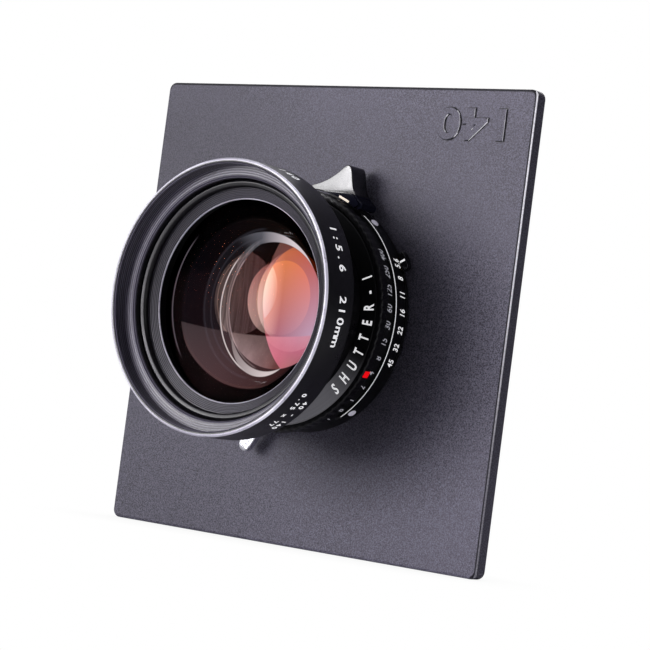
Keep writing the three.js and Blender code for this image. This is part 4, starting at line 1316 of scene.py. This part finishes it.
# ---- cam rings and the plate between them
def cam_slot(arm, start, blade_turn, ring_turn, steps, half=0.72):
    """Slot followed by a blade's pin as blade and ring turn, with round ends."""
    centre = []
    for i in range(steps + 1):
        share = i / steps
        blade, ring = (start + (blade_turn - start) * share) * DEG, ring_turn * share
        x, y = BLADE_PIVOT + arm * math.sin(blade), -arm * math.cos(blade)
        centre.append(polar(math.hypot(x, y), math.degrees(math.atan2(y, x)) - ring))
    centre = np.array(centre)
    last = len(centre) - 1
    out = []
    for side in (1, -1):
        for i in range(last + 1)[::side]:
            along = centre[min(i + 1, last)] - centre[max(i - 1, 0)]
            along = along / np.linalg.norm(along)
            out.append(tuple(centre[i] + np.array([-along[1], along[0]]) * side * half))
        end = centre[last if side == 1 else 0]
        along = centre[-1] - centre[-2] if side == 1 else centre[0] - centre[1]
        along = along / np.linalg.norm(along)
        normal = np.array([-along[1], along[0]])
        for q in range(1, 8):
            bend = math.pi * q / 8
            out.append(tuple(end + half * (normal * math.cos(bend) + along * math.sin(bend))))
    return out


iris_pivots = [k * 360 / IRIS_LEAVES for k in range(IRIS_LEAVES)]
shutter_pivots = [SHUTTER_START + k * 72 for k in range(SHUTTER_LEAVES)]
cam = cam_slot(IRIS_ARM, start=0, blade_turn=25.6, ring_turn=-STOP_SWEEP, steps=14)
iris_ring = fuse("iris_ring_fine", [
    slab([circle(32.7, 180), circle(27.2, 160), *[turn(cam, a) for a in iris_pivots]],
         1.7, 2.35, 0.05),
    slab([turn(box(32.3, 37.3, -2, 2), STOP_ANGLE)], 1.72, 2.33)], BRASS)
stand_in(iris_ring, "brass", "aperture_control")
stud_holes = [circle(0.85, 20, *polar(BLADE_PIVOT, a)) for a in iris_pivots + shutter_pivots]
stand_in(plate("blade_plate_fine", [circle(33.3, 180), circle(15.0, 140), *stud_holes],
               5.0, 5.5, BLADE), "blade_steel")
cam = cam_slot(SHUTTER_ARM, start=SHUTTER_REST, blade_turn=0, ring_turn=FOCUS_SWEEP, steps=10)
sector_ring = fuse("sector_ring_fine", [
    slab([circle(33.2, 180), circle(27.5, 160), *[turn(cam, a) for a in shutter_pivots]],
         7.5, 8.05, 0.05),
    slab([turn(box(32.8, 37.5, -1.5, 1.5), FOCUS_ANGLE)], 7.52, 8.03)], STEEL)
stand_in(sector_ring, "bare_steel", "press_focus_control")
stand_in(turned("mechanism_plate_fine", [
    (20.2, 8.4, 0), (33.9, 8.4, 0.1), (33.9, 9.2, 0.1), (21.6, 9.2, 0.1), (21.6, 14.7, 0.15),
    (20.2, 14.7, 0.15)], STEEL, seg=144), "bare_steel")


# ---- gear train: drive ring, retard wheel, star wheel, pallet and bridge
def gear(teeth, module, start, count):
    """Outline of count teeth of a gear, the first centred at the start angle."""
    pitch, pitch_r = 360 / teeth, teeth * module / 2
    tip, root = pitch_r + 0.8 * module, pitch_r - 1.25 * module
    # (radius, share of the pitch) from root to tip
    flank = [(root, 0.27), (pitch_r, 0.235), (tip - 0.12 * module, 0.11 + 0.03),
             (tip, 0.11 - 0.02)]
    out = []
    for k in range(count):
        centre = start + k * pitch
        out += [polar(radius, centre - share * pitch) for radius, share in flank]
        out += [polar(radius, centre + share * pitch) for radius, share in reversed(flank)]
    return out


def post(radius, x, y, low=9.35, high=11.55):
    return slab([circle(radius, 24, x, y)], low, high, 0.04)


def direction(start, end):
    return math.degrees(math.atan2(end[1] - start[1], end[0] - start[0]))


RING_MODULE, TRAIN_MODULE = 0.6, 0.4
RING_TEETH, WHEEL_PINION, WHEEL_TEETH, STAR_PINION = 86, 10, 20, 8
GEAR_ANGLE = 195
WHEEL_PLACE_R = RING_MODULE * (RING_TEETH + WHEEL_PINION) / 2
WHEEL_TO_STAR = TRAIN_MODULE * (WHEEL_TEETH + STAR_PINION) / 2
STAR_PLACE_R = 30.2
STAR_ANGLE = GEAR_ANGLE + math.degrees(math.acos(
    (WHEEL_PLACE_R ** 2 + STAR_PLACE_R ** 2 - WHEEL_TO_STAR ** 2)
    / (2 * WHEEL_PLACE_R * STAR_PLACE_R)))
WHEEL = polar(WHEEL_PLACE_R, GEAR_ANGLE)
STAR = polar(STAR_PLACE_R, STAR_ANGLE)
PALLET = polar(30.4, STAR_ANGLE + 8.7)

pitch = 360 / RING_TEETH
first = GEAR_ANGLE - 12 * pitch
teeth_start, teeth_end = first - 0.5 * pitch, first + 13.5 * pitch
ring_outline = [*gear(RING_TEETH, RING_MODULE, first, 14), polar(25.0, teeth_end),
                polar(25.0, 203.9), polar(26.4, 204.5), polar(26.4, 207.5), polar(25.0, 208.1),
                *arc(25.0, 215.5, 360 + teeth_start, 90)]
stand_in(plate("drive_ring_fine", [ring_outline, circle(22.0, 140)], 9.5, 10.0, STEEL,
               bevel=0.04), "bare_steel", COCKING)

mesh_angle = direction(WHEEL, STAR)
wheel_turn = GEAR_ANGLE + 180
wheel_gear = gear(WHEEL_TEETH, TRAIN_MODULE, mesh_angle - GEAR_ANGLE - 180, WHEEL_TEETH)
wheel_pinion = gear(WHEEL_PINION, RING_MODULE, 18, WHEEL_PINION)
stand_in(fuse("retard_wheel_fine", [
    slab([turn(wheel_gear, wheel_turn, *WHEEL)], 10.15, 10.5, 0.02),
    slab([turn(wheel_pinion, wheel_turn, *WHEEL)], 9.45, 10.2, 0.02),
    post(0.5, *WHEEL)], BRASS), "brass", "retard_arbor")
points = [polar(radius, k * 36 + lead) for k in range(10)
          for radius, lead in ((1.75, -10), (2.8, 0), (1.9, 8))]
star_pinion = gear(STAR_PINION, TRAIN_MODULE, mesh_angle + 180 + 22.5, STAR_PINION)
stand_in(fuse("star_wheel_fine", [
    slab([turn(points, 0, *STAR)], 10.65, 11.0, 0.02),
    slab([turn(star_pinion, 0, *STAR)], 10.1, 10.7, 0.02), post(0.45, *STAR)], BRASS),
    "brass", "star_arbor")
to_pallet = direction(STAR, PALLET)


def about_star(radius, angle):
    x, y = polar(radius, to_pallet + angle)
    return (STAR[0] + x, STAR[1] + y)


hub = [(PALLET[0] + x, PALLET[1] + y)
       for x, y in (polar(1.9, to_pallet + a) for a in range(-50, 51, 10))]
fork = [*[about_star(*p) for p in ((3.15, -62), (3.9, -60), (4.6, -24))], *hub,
        *[about_star(*p) for p in ((4.6, 24), (3.9, 60), (3.15, 62), (3.25, 34), (3.45, 12),
                                   (3.45, -12), (3.25, -34))]]
stand_in(fuse("pallet_fine", [slab([soften(fork, 0.15, 2)], 10.62, 11.0, 0.02),
                              post(0.45, *PALLET)], STEEL), "bare_steel", "pallet_arbor")
bridge_start, bridge_end = GEAR_ANGLE - 13, STAR_ANGLE + 19
bridge = soften([*arc(33.2, bridge_start, bridge_end, 30),
                 *arc(27.6, bridge_end, bridge_start, 30)], 0.5)
stand_in(fuse("retard_bridge_fine", [
    slab([bridge, *[circle(0.75, 24, *q) for q in (WHEEL, STAR, PALLET)]], 11.12, 11.5, 0.05),
    post(0.9, *polar(32.0, GEAR_ANGLE - 10.8), 9.35, 11.2),
    post(0.9, *polar(30.6, STAR_ANGLE + 16.6), 9.35, 11.2)], BRASS), "brass")

# ---- main spring on its post, and the locating pin
x, y = polar(30.0, 20)
stand_in(fuse("main_spring_post_fine", [post(1.1, x, y, 9.35, 11.4), post(1.6, x, y, 11.15, 11.5)],
              STEEL), "bare_steel")
wire = [(x - 2.4, y - 3.6, 9.72), (x - 2.25, y - 1.8, 9.75),
        *coil(x, y, radius=2.1, start=180, sweep=900, low=9.8, rise=0.95, steps=100),
        (x + 2.15, y + 1.8, 10.78), (x + 2.2, y + 3.4, 10.8)]
stand_in(shaded("main_spring_fine", *tube(wire, 0.2), STEEL), "bare_steel")
stand_in(plate("locating_pin_fine", [circle(1.1, 32, 0.0, 28.0)], -1.6, 1.3, BRASS, bevel=0.12,
               res=2), "brass")

# ---- marks. Numerals and their angles.
SPEEDS = {"400": 32.0, "250": 23.1, "125": 14.0, "60": 5.5, "30": -2.5, "15": -10.6,
          "8": -18.6, "4": -26.5, "2": -34.8, "1": -43.2, "B": -50.9, "T": -59.4}
STOPS = {"5.6": 28.2, "8": 20.6, "11": 12.6, "16": 4.2, "22": -3.9, "32": -12.0, "45": -19.7}
speed_style = dict(size=3.75, shear=0.22, offset=0.02, narrow=0.66, spacing=1.02)
stop_style = dict(size=3.3, shear=0.2, offset=0.055, narrow=0.70, spacing=1.08)
marks("speed_numerals", [on_wall(lettering(text, **speed_style), HOUSING_R, angle, 9.7)
                         for text, angle in SPEEDS.items()], GREY)
marks("stop_numerals", [on_wall(lettering(text, **stop_style), SCALE_R, angle, 4.2)
                        for text, angle in STOPS.items()], WHITE)
marks("scale_line", [strip_on_wall(SCALE_R, -54.3, 56.3, 7.38, 7.68)], WHITE)
marks("speed_index", [strip_on_wall(DIAL_R, -28.2, -25.0, 12.15, 14.4, thick=0.12, sink=0.05)],
      RED, "speed_dial")
marks("name_ring_marks",
      spread("SHUTTER-1", -42.7, 21.1, on_name_face, 4.9, offset=0.11, narrow=0.62), WHITE)
large = dict(size=4.1, offset=0.07, narrow=1.05)
small = dict(size=2.5, offset=0.06)
marks("barrel_marks", spread("1:5.6  210mm", 33.9, -13.1, on_barrel(38.7), **large), WHITE)
marks("barrel_small_marks", [
    *spread("0.75 x 77", -38.0, -58.0, on_barrel(39.6), **small),
    *spread("40 - 140", -42.0, -60.0, on_barrel(36.4), **small),
    *spread("140", 72.0, 64.0, on_barrel(38.7), **large)], WHITE)

# ------------------------------------------------------------------ glass
# Each surface is clear with a faint coloured coating. The reflections that the coatings throw of the
# pale surroundings, discs and crescents one behind the other, are painted reflections: glow on the
# first element's rear surface, seen by the camera only, that slides with the view. Their circles:
# centre x, centre y, radius.
RING, INNER = (8.11, -0.22, 21.41), (10.12, 0.71, 20.29)
TOP_IN, TOP_OUT = (6.22, -2.35, 21.46), (2.73, -1.96, 23.88)
BOTTOM_OUT, BOTTOM_IN = (5.75, -8.05, 13.24), (7.62, -3.29, 16.25)
LOW_IN, BIG, UPPER = (10.11, 4.28, 22.84), (28.31, 3.65, 25.89), (17.39, 3.3, 15.14)
RIGHT, LEFT, MIDDLE = (10.69, 2.78, 11.1), (7.22, 2.42, 10.78), (13.82, 3.2, 13.71)
LENS_EDGE, ROSE = (-3.85, 4.61, 11.42), (15.66, 3.6, 16.55)
BROWN, BROWN_RIGHT = (-1.4, 1.67, 14.3), (-6.25, 3.13, 12.67)
CRESCENT, FAINT = (1.27, 6.82, 32.17), (3.38, 0.31, 22.48)
BLACK = (0.0, 0.0, 0.0)


def painted_reflections(mat, shader):
    """Add the painted reflections to a shader, as glow seen by the camera."""
    mul, ramp, fall = mat.mul, mat.ramp, mat.fall
    incoming = mat.separate(mat.node("NewGeometry").outputs["Incoming"])
    # sideways and upward slope of the view at which nothing slides, and the slide in mm
    still_x, still_y, slide = 0.774, 0.042, 14.0
    front = mat.math("MAXIMUM", mul(incoming[1], -1.0), 0.35)
    slope_x = mat.math("DIVIDE", incoming[0], front)
    slope_y = mat.math("DIVIDE", incoming[2], front)
    x = mat.sub(mat.x, mul(mat.sub(slope_x, still_x), slide))
    y = mat.sub(mat.y, mul(mat.add(slope_y, still_y), slide))
    place_xy = mat.combine(x, y, 0.0)

    def inverse(mask):
        return mat.sub(1.0, mask)

    def distance(ring):
        return mat.vmath("DISTANCE", place_xy, (ring[0], ring[1], 0.0), output=1)

    def disc(ring, soft=0.15, grow=0.0):
        return fall(distance(ring), (ring[2] + grow - soft, ring[2] + grow + soft))

    def hoop(ring, width, grow=0.0):
        off_line = mat.math("ABSOLUTE", mat.sub(distance(ring), ring[2] + grow))
        return fall(off_line, (0.4 * width, width))

    def tint(area, *corners):
        """Colour blended over an area (left, right, bottom, top).

        Corners: bottom left, bottom right, top left, top right.
        """
        across = ramp(x, area[:2], smooth=False)
        up = ramp(y, area[2:], smooth=False)
        return mat.mix(up, mat.mix(across, *corners[:2]), mat.mix(across, *corners[2:]))

    def within_glass():
        return fall(mat.radius, (25.4, 25.8))

    horizon_bend, horizon_y = 0.0026, -9.1
    horizon = mat.mul_add(mul(x, x), horizon_bend, horizon_y)
    above = ramp(mat.sub(y, horizon), (-0.25, 0.25))
    below = inverse(above)
    low_in, ring, inner, top_in = disc(LOW_IN), disc(RING, 0.2, 0.1), disc(INNER), disc(TOP_IN)
    big, upper = disc(BIG), disc(UPPER)
    # fine upright streaks, and clouding: noise frequencies across and up
    streak_x, streak_y = 1.1, 0.05
    cloud_x, cloud_y, cloud_layer = 0.22, 0.16, 3.0
    streak = mat.noise(scale=1.0, detail=2,
                       vector=mat.combine(mul(x, streak_x), mul(y, streak_y), 0.0))
    streak = ramp(streak, (0.3, 0.7), to=(0.62, 1.4))
    cloud = mat.noise(scale=1.0,
                      vector=mat.combine(mul(x, cloud_x), mul(y, cloud_y), cloud_layer))
    cloud = ramp(cloud, (0.3, 0.7), to=(0.82, 1.18))
    # masks and the colours of painted reflection they add, as glow
    lobes = [
        (fall(mat.radius, (24.5, 25.5)),
         tint((-25, 20, -25, 25), (0.004, 0.0035, 0.005), (0.02, 0.003, 0.002),
              (0.001, 0.001, 0.002), (0.006, 0.004, 0.003))),
        (mul(disc(CRESCENT), below, within_glass()),
         tint((-24, 20, -25, -8), (0.094, 0.053, 0.058), (0.011, 0.003, 0.002),
              (0.046, 0.034, 0.036), (0.017, 0.007, 0.012))),
        (mul(below, low_in, disc(RING), cloud),
         tint((-12, 12, -22, -9), (0.572, 0.443, 0.465), (0.146, 0.04, 0.036),
              (0.16, 0.11, 0.1), (0.06, 0.04, 0.035))),
        (mul(disc(BROWN), disc(BROWN_RIGHT), above, streak),
         tint((-14, 6, -9, 15), (0.07, 0.05, 0.048), (0.05, 0.022, 0.024),
              (0.045, 0.03, 0.026), (0.06, 0.022, 0.024))),
        (mul(ring, inverse(inner), above, streak),
         tint((-12, 0, -9, 15), (0.068, 0.053, 0.05), (0.03, 0.02, 0.034),
              (0.02, 0.015, 0.015), (0.1, 0.105, 0.117))),
        (mul(big, above, top_in),
         tint((3, 24, -9, 19), (0.323, 0.03, 0.04), (0.54, 0.363, 0.507),
              (0.096, 0.06, 0.05), (0.256, 0.03, 0.02))),
        (mul(upper, above, top_in),
         tint((3, 24, -9, 18), BLACK, BLACK, (0.46, 0.13, 0.02), (0.20, 0.03, 0.01))),
        (mul(disc(RIGHT), above),
         tint((0, 22, -8, 14), (0.06, 0.03, 0.03), (0.03, 0.01, 0.01),
              (0.12, 0.07, 0.0), (0.30, 0.07, 0.0))),
        (mul(disc(LEFT), above),
         tint((-3, 10, -8, 13), (0.469, 0.306, 0.27), BLACK, (0.323, 0.1, 0.088), BLACK)),
        (mul(disc(MIDDLE), above),
         tint((0, 10, -8, 13), (0.386, 0.33, 0.31), BLACK,
              (0.427, 0.18, 0.161), (0.055, 0.006, 0.0))),
        (mul(disc(LENS_EDGE), upper, above),
         tint((3, 8, -5, 13), (0.0, 0.15, 0.199), BLACK,
              (0.05, 0.448, 0.384), (0.197, 0.058, 0.051))),
        (mul(big, below, low_in),
         tint((4, 18, -18, -9), (0.76, 0.097, 0.227), (0.274, 0.105, 0.12),
              (0.46, 0.147, 0.171), (0.53, 0.105, 0.219))),
        (mul(disc(ROSE), big, below, low_in),
         tint((4, 20, -13, -9), (0.02, 0.01, 0.01), (0.094, 0.045, 0.051),
              (0.152, 0.01, 0.03), (0.02, 0.117, 0.091))),
        (mul(hoop(INNER, 0.3), fall(x, (3.0, 5.0)), fall(y, (12.0, 14.0))),
         tint((-10, 0, -12, 13), (0.2, 0.15, 0.16), (0.1, 0.08, 0.08),
              (0.18, 0.13, 0.12), (0.5, 0.37, 0.44))),
        (mul(hoop(INNER, 0.25, 0.8), fall(x, (0.0, 3.0))),
         tint((-10, 0, -12, 13), (0.13, 0.1, 0.1), (0.05, 0.04, 0.04),
              (0.07, 0.05, 0.05), (0.1, 0.07, 0.08))),
        (mul(hoop(FAINT, 0.5), fall(x, (0.0, 3.0))), (0.012, 0.012, 0.016)),
        (mul(hoop(FAINT, 0.4, -2.4), fall(x, (-4.0, 1.0))), (0.012, 0.012, 0.016)),
        (mul(hoop(BROWN, 0.22, -1.0), above, fall(x, (-9.0, -5.0))), (0.10, 0.06, 0.05)),
        (mul(hoop(CRESCENT, 0.3, -0.5), below, within_glass()), (0.02, 0.008, 0.006)),
        (mul(disc(FAINT), above, inverse(disc(BROWN)), fall(x, (-6.0, 4.0))),
         (0.004, 0.0045, 0.006)),
    ]
    total = None
    for mask, color in lobes:
        layer = mat.scale(color, mask)
        total = layer if total is None else mat.vmath("ADD", total, layer)
    # painted highlights: bright crescents, a line and glinting specks, over everything else
    shifted = mat.vmath("ADD", mat.coord, (0.37, 0.11, 0.05))
    speck = ramp(mat.voronoi(scale=170, vector=shifted), (0.03, 0.05), to=(0.6, 0.0))
    top_lean = 0.55
    bright = [
        (mul(disc(TOP_OUT), inverse(top_in), ramp(mat.mul_add(x, top_lean, y), (12.0, 22.0)),
             ramp(y, (8.0, 11.0))),
         tint((0, 13, 9, 21), (0.10, 0.09, 0.11), (0.74, 0.62, 0.64),
              (0.10, 0.10, 0.12), (0.72, 0.64, 0.68))),
        (mul(disc(BOTTOM_OUT), inverse(disc(BOTTOM_IN, 0.2))),
         tint((-8, 9, -21, -12), (0.2, 0.16, 0.17), (0.72, 0.62, 0.62),
              (0.25, 0.2, 0.2), (0.5, 0.4, 0.4))),
        (mul(hoop(RING, 0.3, -0.15), fall(x, (-3.0, 2.0)), fall(y, (11.0, 15.0))),
         (0.62, 0.54, 0.54)),
        (mul(speck, big), (0.9, 0.8, 0.8))]
    for mask, color in bright:
        total = mat.mix(mask, total, color)
    facing = mul(ramp(mul(incoming[1], -1.0), (0.15, 0.45)), mat.camera_ray)
    # a painted highlight: a thin glowing arc near the edge of the glass, on its left
    arc_radius = 28.3
    arc_line = ramp(mat.math("ABSOLUTE", mat.sub(mat.radius, arc_radius)), (0.10, 0.26),
                    to=(0.22, 0.0))
    edge_arc = mat.emission((0.42, 0.36, 0.44), mul(arc_line, fall(mat.x, (-25.0, -21.0)), facing))
    return mat.add_shader(shader, mat.add_shader(mat.emission(total, facing), edge_arc))


def coating(name, tint, strength=0.006, rough=0.05, clear=0.985, layers=None):
    """Clear surface with a weak coloured reflection, stronger at a glancing view. A low clear value
    darkens all behind it, as painted shade.
    """
    mat = new_material(name)
    share = 0.06                            # of the reflection in the mix
    glancing_power, glancing_gain = 4.0, 0.012
    facing = mat.node("LayerWeight", {"Blend": 0.35}).outputs["Facing"]
    smear = mat.noise(scale=60, detail=4)
    through = mat.node("BsdfTransparent", {"Color": (min(clear / 0.94, 1.0),) * 3}).outputs[0]
    paler = tuple(min(1, c * 1.3 + 0.1) for c in srgb(tint))
    color = mat.mix(mat.ramp(facing, (0.1, 0.9)), tint, paler)
    gain = mat.mul_add(mat.math("POWER", facing, glancing_power), glancing_gain, strength)
    glossy = mat.node("BsdfGlossy", {
        "Color": mat.scale(color, mat.math("DIVIDE", gain, share)),
        "Roughness": mat.ramp(smear, (0.3, 0.7), to=(rough * 0.8, rough * 1.3))}).outputs[0]
    shader = mat.mix_shader(share, through, glossy)
    return mat.end(layers(mat, shader) if layers else shader)


def sphere_points(rim, vertex, radius, side, steps=22):
    """(radius, h) points of a spherical surface from its vertex out; side bends it."""
    radii = [rim * i / steps for i in range(steps + 1)]
    return [(r, vertex + side * (radius - math.sqrt(radius * radius - r ** 2))) for r in radii]


# cell; front and rear surface: rim radius, vertex, radius, side; points joining them at the rim;
# front and rear coating. Heights in the rear cell are measured backwards.
ELEMENTS = [
    # the first element's rear surface lets through about a tenth of the light: painted shade over the
    # lens behind it; it also carries the painted reflections
    ("front", (30.5, 41.47, 75, -1), (30.5, 27.97, 110, 1), [],
     dict(tint="c06a50", strength=0.0015),
     dict(tint="b07078", strength=0.001, clear=0.10, layers=painted_reflections)),
    ("front", (24.5, 27.77, 110, 1), (24.5, 24.87, 70, -1), [],
     dict(tint="d08060"), dict(tint="806070")),
    ("front", (20.8, 23.9, 45, -1), (17.6, 18.6, 70, -1), [(20.8, 16.35)],
     dict(tint="705060"), dict(tint="e08078")),
    ("rear", (16.0, 9.9, 60, -1), (18.6, 14.1, 42, -1), [(18.6, 7.72)],
     dict(tint="c07868"), dict(tint="705868")),
    ("rear", (21.0, 15.0, 65, -1), (21.0, 17.6, 100, 1), [],
     dict(tint="705868"), dict(tint="b86a60", strength=0.02)),
    ("rear", (25.5, 17.8, 100, 1), (25.5, 28.0, 70, -1), [],
     dict(tint="a06878", strength=0.02), dict(tint="b06a58", strength=0.03, rough=0.03))]
for number, (cell, front, rear, rim, front_coat, rear_coat) in enumerate(ELEMENTS, 1):
    coats = [coating(f"coat_{number}_front", **front_coat),
             coating(f"coat_{number}_rear", **rear_coat), EDGE_BLACK]
    rear_points = sphere_points(*rear)
    profile = [*rear_points, *rim, *reversed(sphere_points(*front))]
    if cell == "rear":
        profile = backwards(profile)
    verts, faces, rows = lathe(profile, 144, closed=False)
    rear_end, rim_end = len(rear_points) - 1, len(rear_points) + len(rim)
    slots = [1 if j < rear_end else 2 if j < rim_end else 0 for j in rows]
    node = f"{cell}_element_{number}"
    stand_in(shaded(node + "_glass", verts, faces, coats, face_slots=slots, sharp=25),
             "coated_glass", node=node)
stand_in(turned("front_spacer_fine", [
    (21.1, 16.2), (24.5, 16.2), (24.5, 20.1), (22.0, 20.1, 0.1), (21.1, 19.0, 0.1)], SILVER),
    "bare_steel")


# ------------------------------------------------------------------ floor, light, camera
def stage_floor(half=4.0):
    """White floor with soft contact shading for the camera, diffuse for other rays."""
    mesh = bpy.data.meshes.new("floor")
    corners = [(-half, -half), (half, -half), (half, half), (-half, half)]
    mesh.from_pydata([(*c, board_lo.z) for c in corners], [], [(0, 1, 2, 3)])
    ob = bpy.data.objects.new("studio_floor", mesh)
    scene.collection.objects.link(ob)
    mat = new_material("pale_floor")
    open_sky = mat.node("AmbientOcclusion", {"Distance": 0.03}, samples=12).outputs["AO"]
    seen = mat.emission((1, 1, 1), mat.ramp(open_sky, (0.0, 1.0), to=(0.86, 1.0), smooth=False))
    diffuse = mat.node("BsdfDiffuse", {"Color": (0.8, 0.8, 0.8)}).outputs[0]
    mesh.materials.append(mat.end(mat.mix_shader(mat.camera_ray, diffuse, seen)))


def build_world():
    """White to the camera; to other rays pale on the left and dark on the right."""
    world = bpy.data.worlds.new("studio")
    scene.world = world
    env = Shader(world, "OutputWorld")
    sideways = env.separate(env.node("TexCoord").outputs["Generated"])[0]
    gradient = env.node("ValToRGB", {0: env.mul_add(sideways, 0.5, 0.5)})
    left, right = gradient.color_ramp.elements
    left.position = 0.3
    left.color = (0.62, 0.61, 0.66, 1)
    right.position = 0.7
    right.color = (0.03, 0.03, 0.035, 1)
    seen = env.node("Background", {0: (1, 1, 1)}).outputs[0]
    around = env.node("Background", {0: gradient.outputs[0]}).outputs[0]
    env.end(env.mix_shader(env.camera_ray, around, seen))


def softbox(name, azimuth, elevation, distance, width, height, radiance, color=(1, 1, 1)):
    """Rectangular light facing the object. Azimuth 0 is in front (-Y), positive to the right."""
    a, e = azimuth * DEG, elevation * DEG
    towards = Vector((math.sin(a) * math.cos(e), -math.cos(a) * math.cos(e), math.sin(e)))
    light = bpy.data.lights.new(name, "AREA")
    light.shape = "RECTANGLE"
    light.size = width
    light.size_y = height
    light.energy = radiance * math.pi * width * height
    light.color = color
    ob = bpy.data.objects.new(name, light)
    scene.collection.objects.link(ob)
    ob.location = Vector((AXIS_X, FACE, AXIS_Z)) + towards * distance
    ob.rotation_mode = "QUATERNION"
    ob.rotation_quaternion = (-towards).to_track_quat("-Z", "Y")
    ob.visible_camera = False
    return ob


stage_floor()
build_world()
softbox("key", azimuth=-24, elevation=8, distance=1.2, width=0.56, height=0.6, radiance=9.6,
        color=(1.0, 0.97, 1.02))
# the cards show only in reflections
card = softbox("card", azimuth=-40, elevation=10, distance=1.2, width=0.44, height=0.5,
               radiance=7.0)
card.visible_diffuse = False
softbox("rear", azimuth=205, elevation=25, distance=1.3, width=0.8, height=0.8, radiance=3.0,
        color=(1.0, 0.99, 1.02))
side = softbox("side_card", azimuth=84, elevation=12, distance=1.2, width=0.35, height=0.9,
               radiance=1.6)
side.visible_diffuse = False

camera_data = bpy.data.cameras.new("camera")
camera = bpy.data.objects.new("camera", camera_data)
scene.collection.objects.link(camera)
CAMERA_PLACE = Vector((0.424139, -0.543899, 0.040294))
CAMERA_AXES = Matrix((      # right, up, backwards
    (0.78668807, 0.60345678, 0.13023743),
    (-0.08284055, -0.10586621, 0.9909237),
    (0.61176737, -0.7903368, -0.03329299)))
camera.matrix_world = Matrix.Translation(CAMERA_PLACE) @ CAMERA_AXES.transposed().to_4x4()
camera_data.sensor_width = 36
camera_data.lens = 126.67
camera_data.shift_x = 0.0038
camera_data.shift_y = 0.0216
camera_data.clip_start = 0.05
camera_data.clip_end = 20
scene.camera = camera
scene.view_settings.view_transform = "Standard"
scene.view_settings.look = "None"
scene.cycles.transparent_max_bounces = 24
scene.cycles.sample_clamp_indirect = 1.5
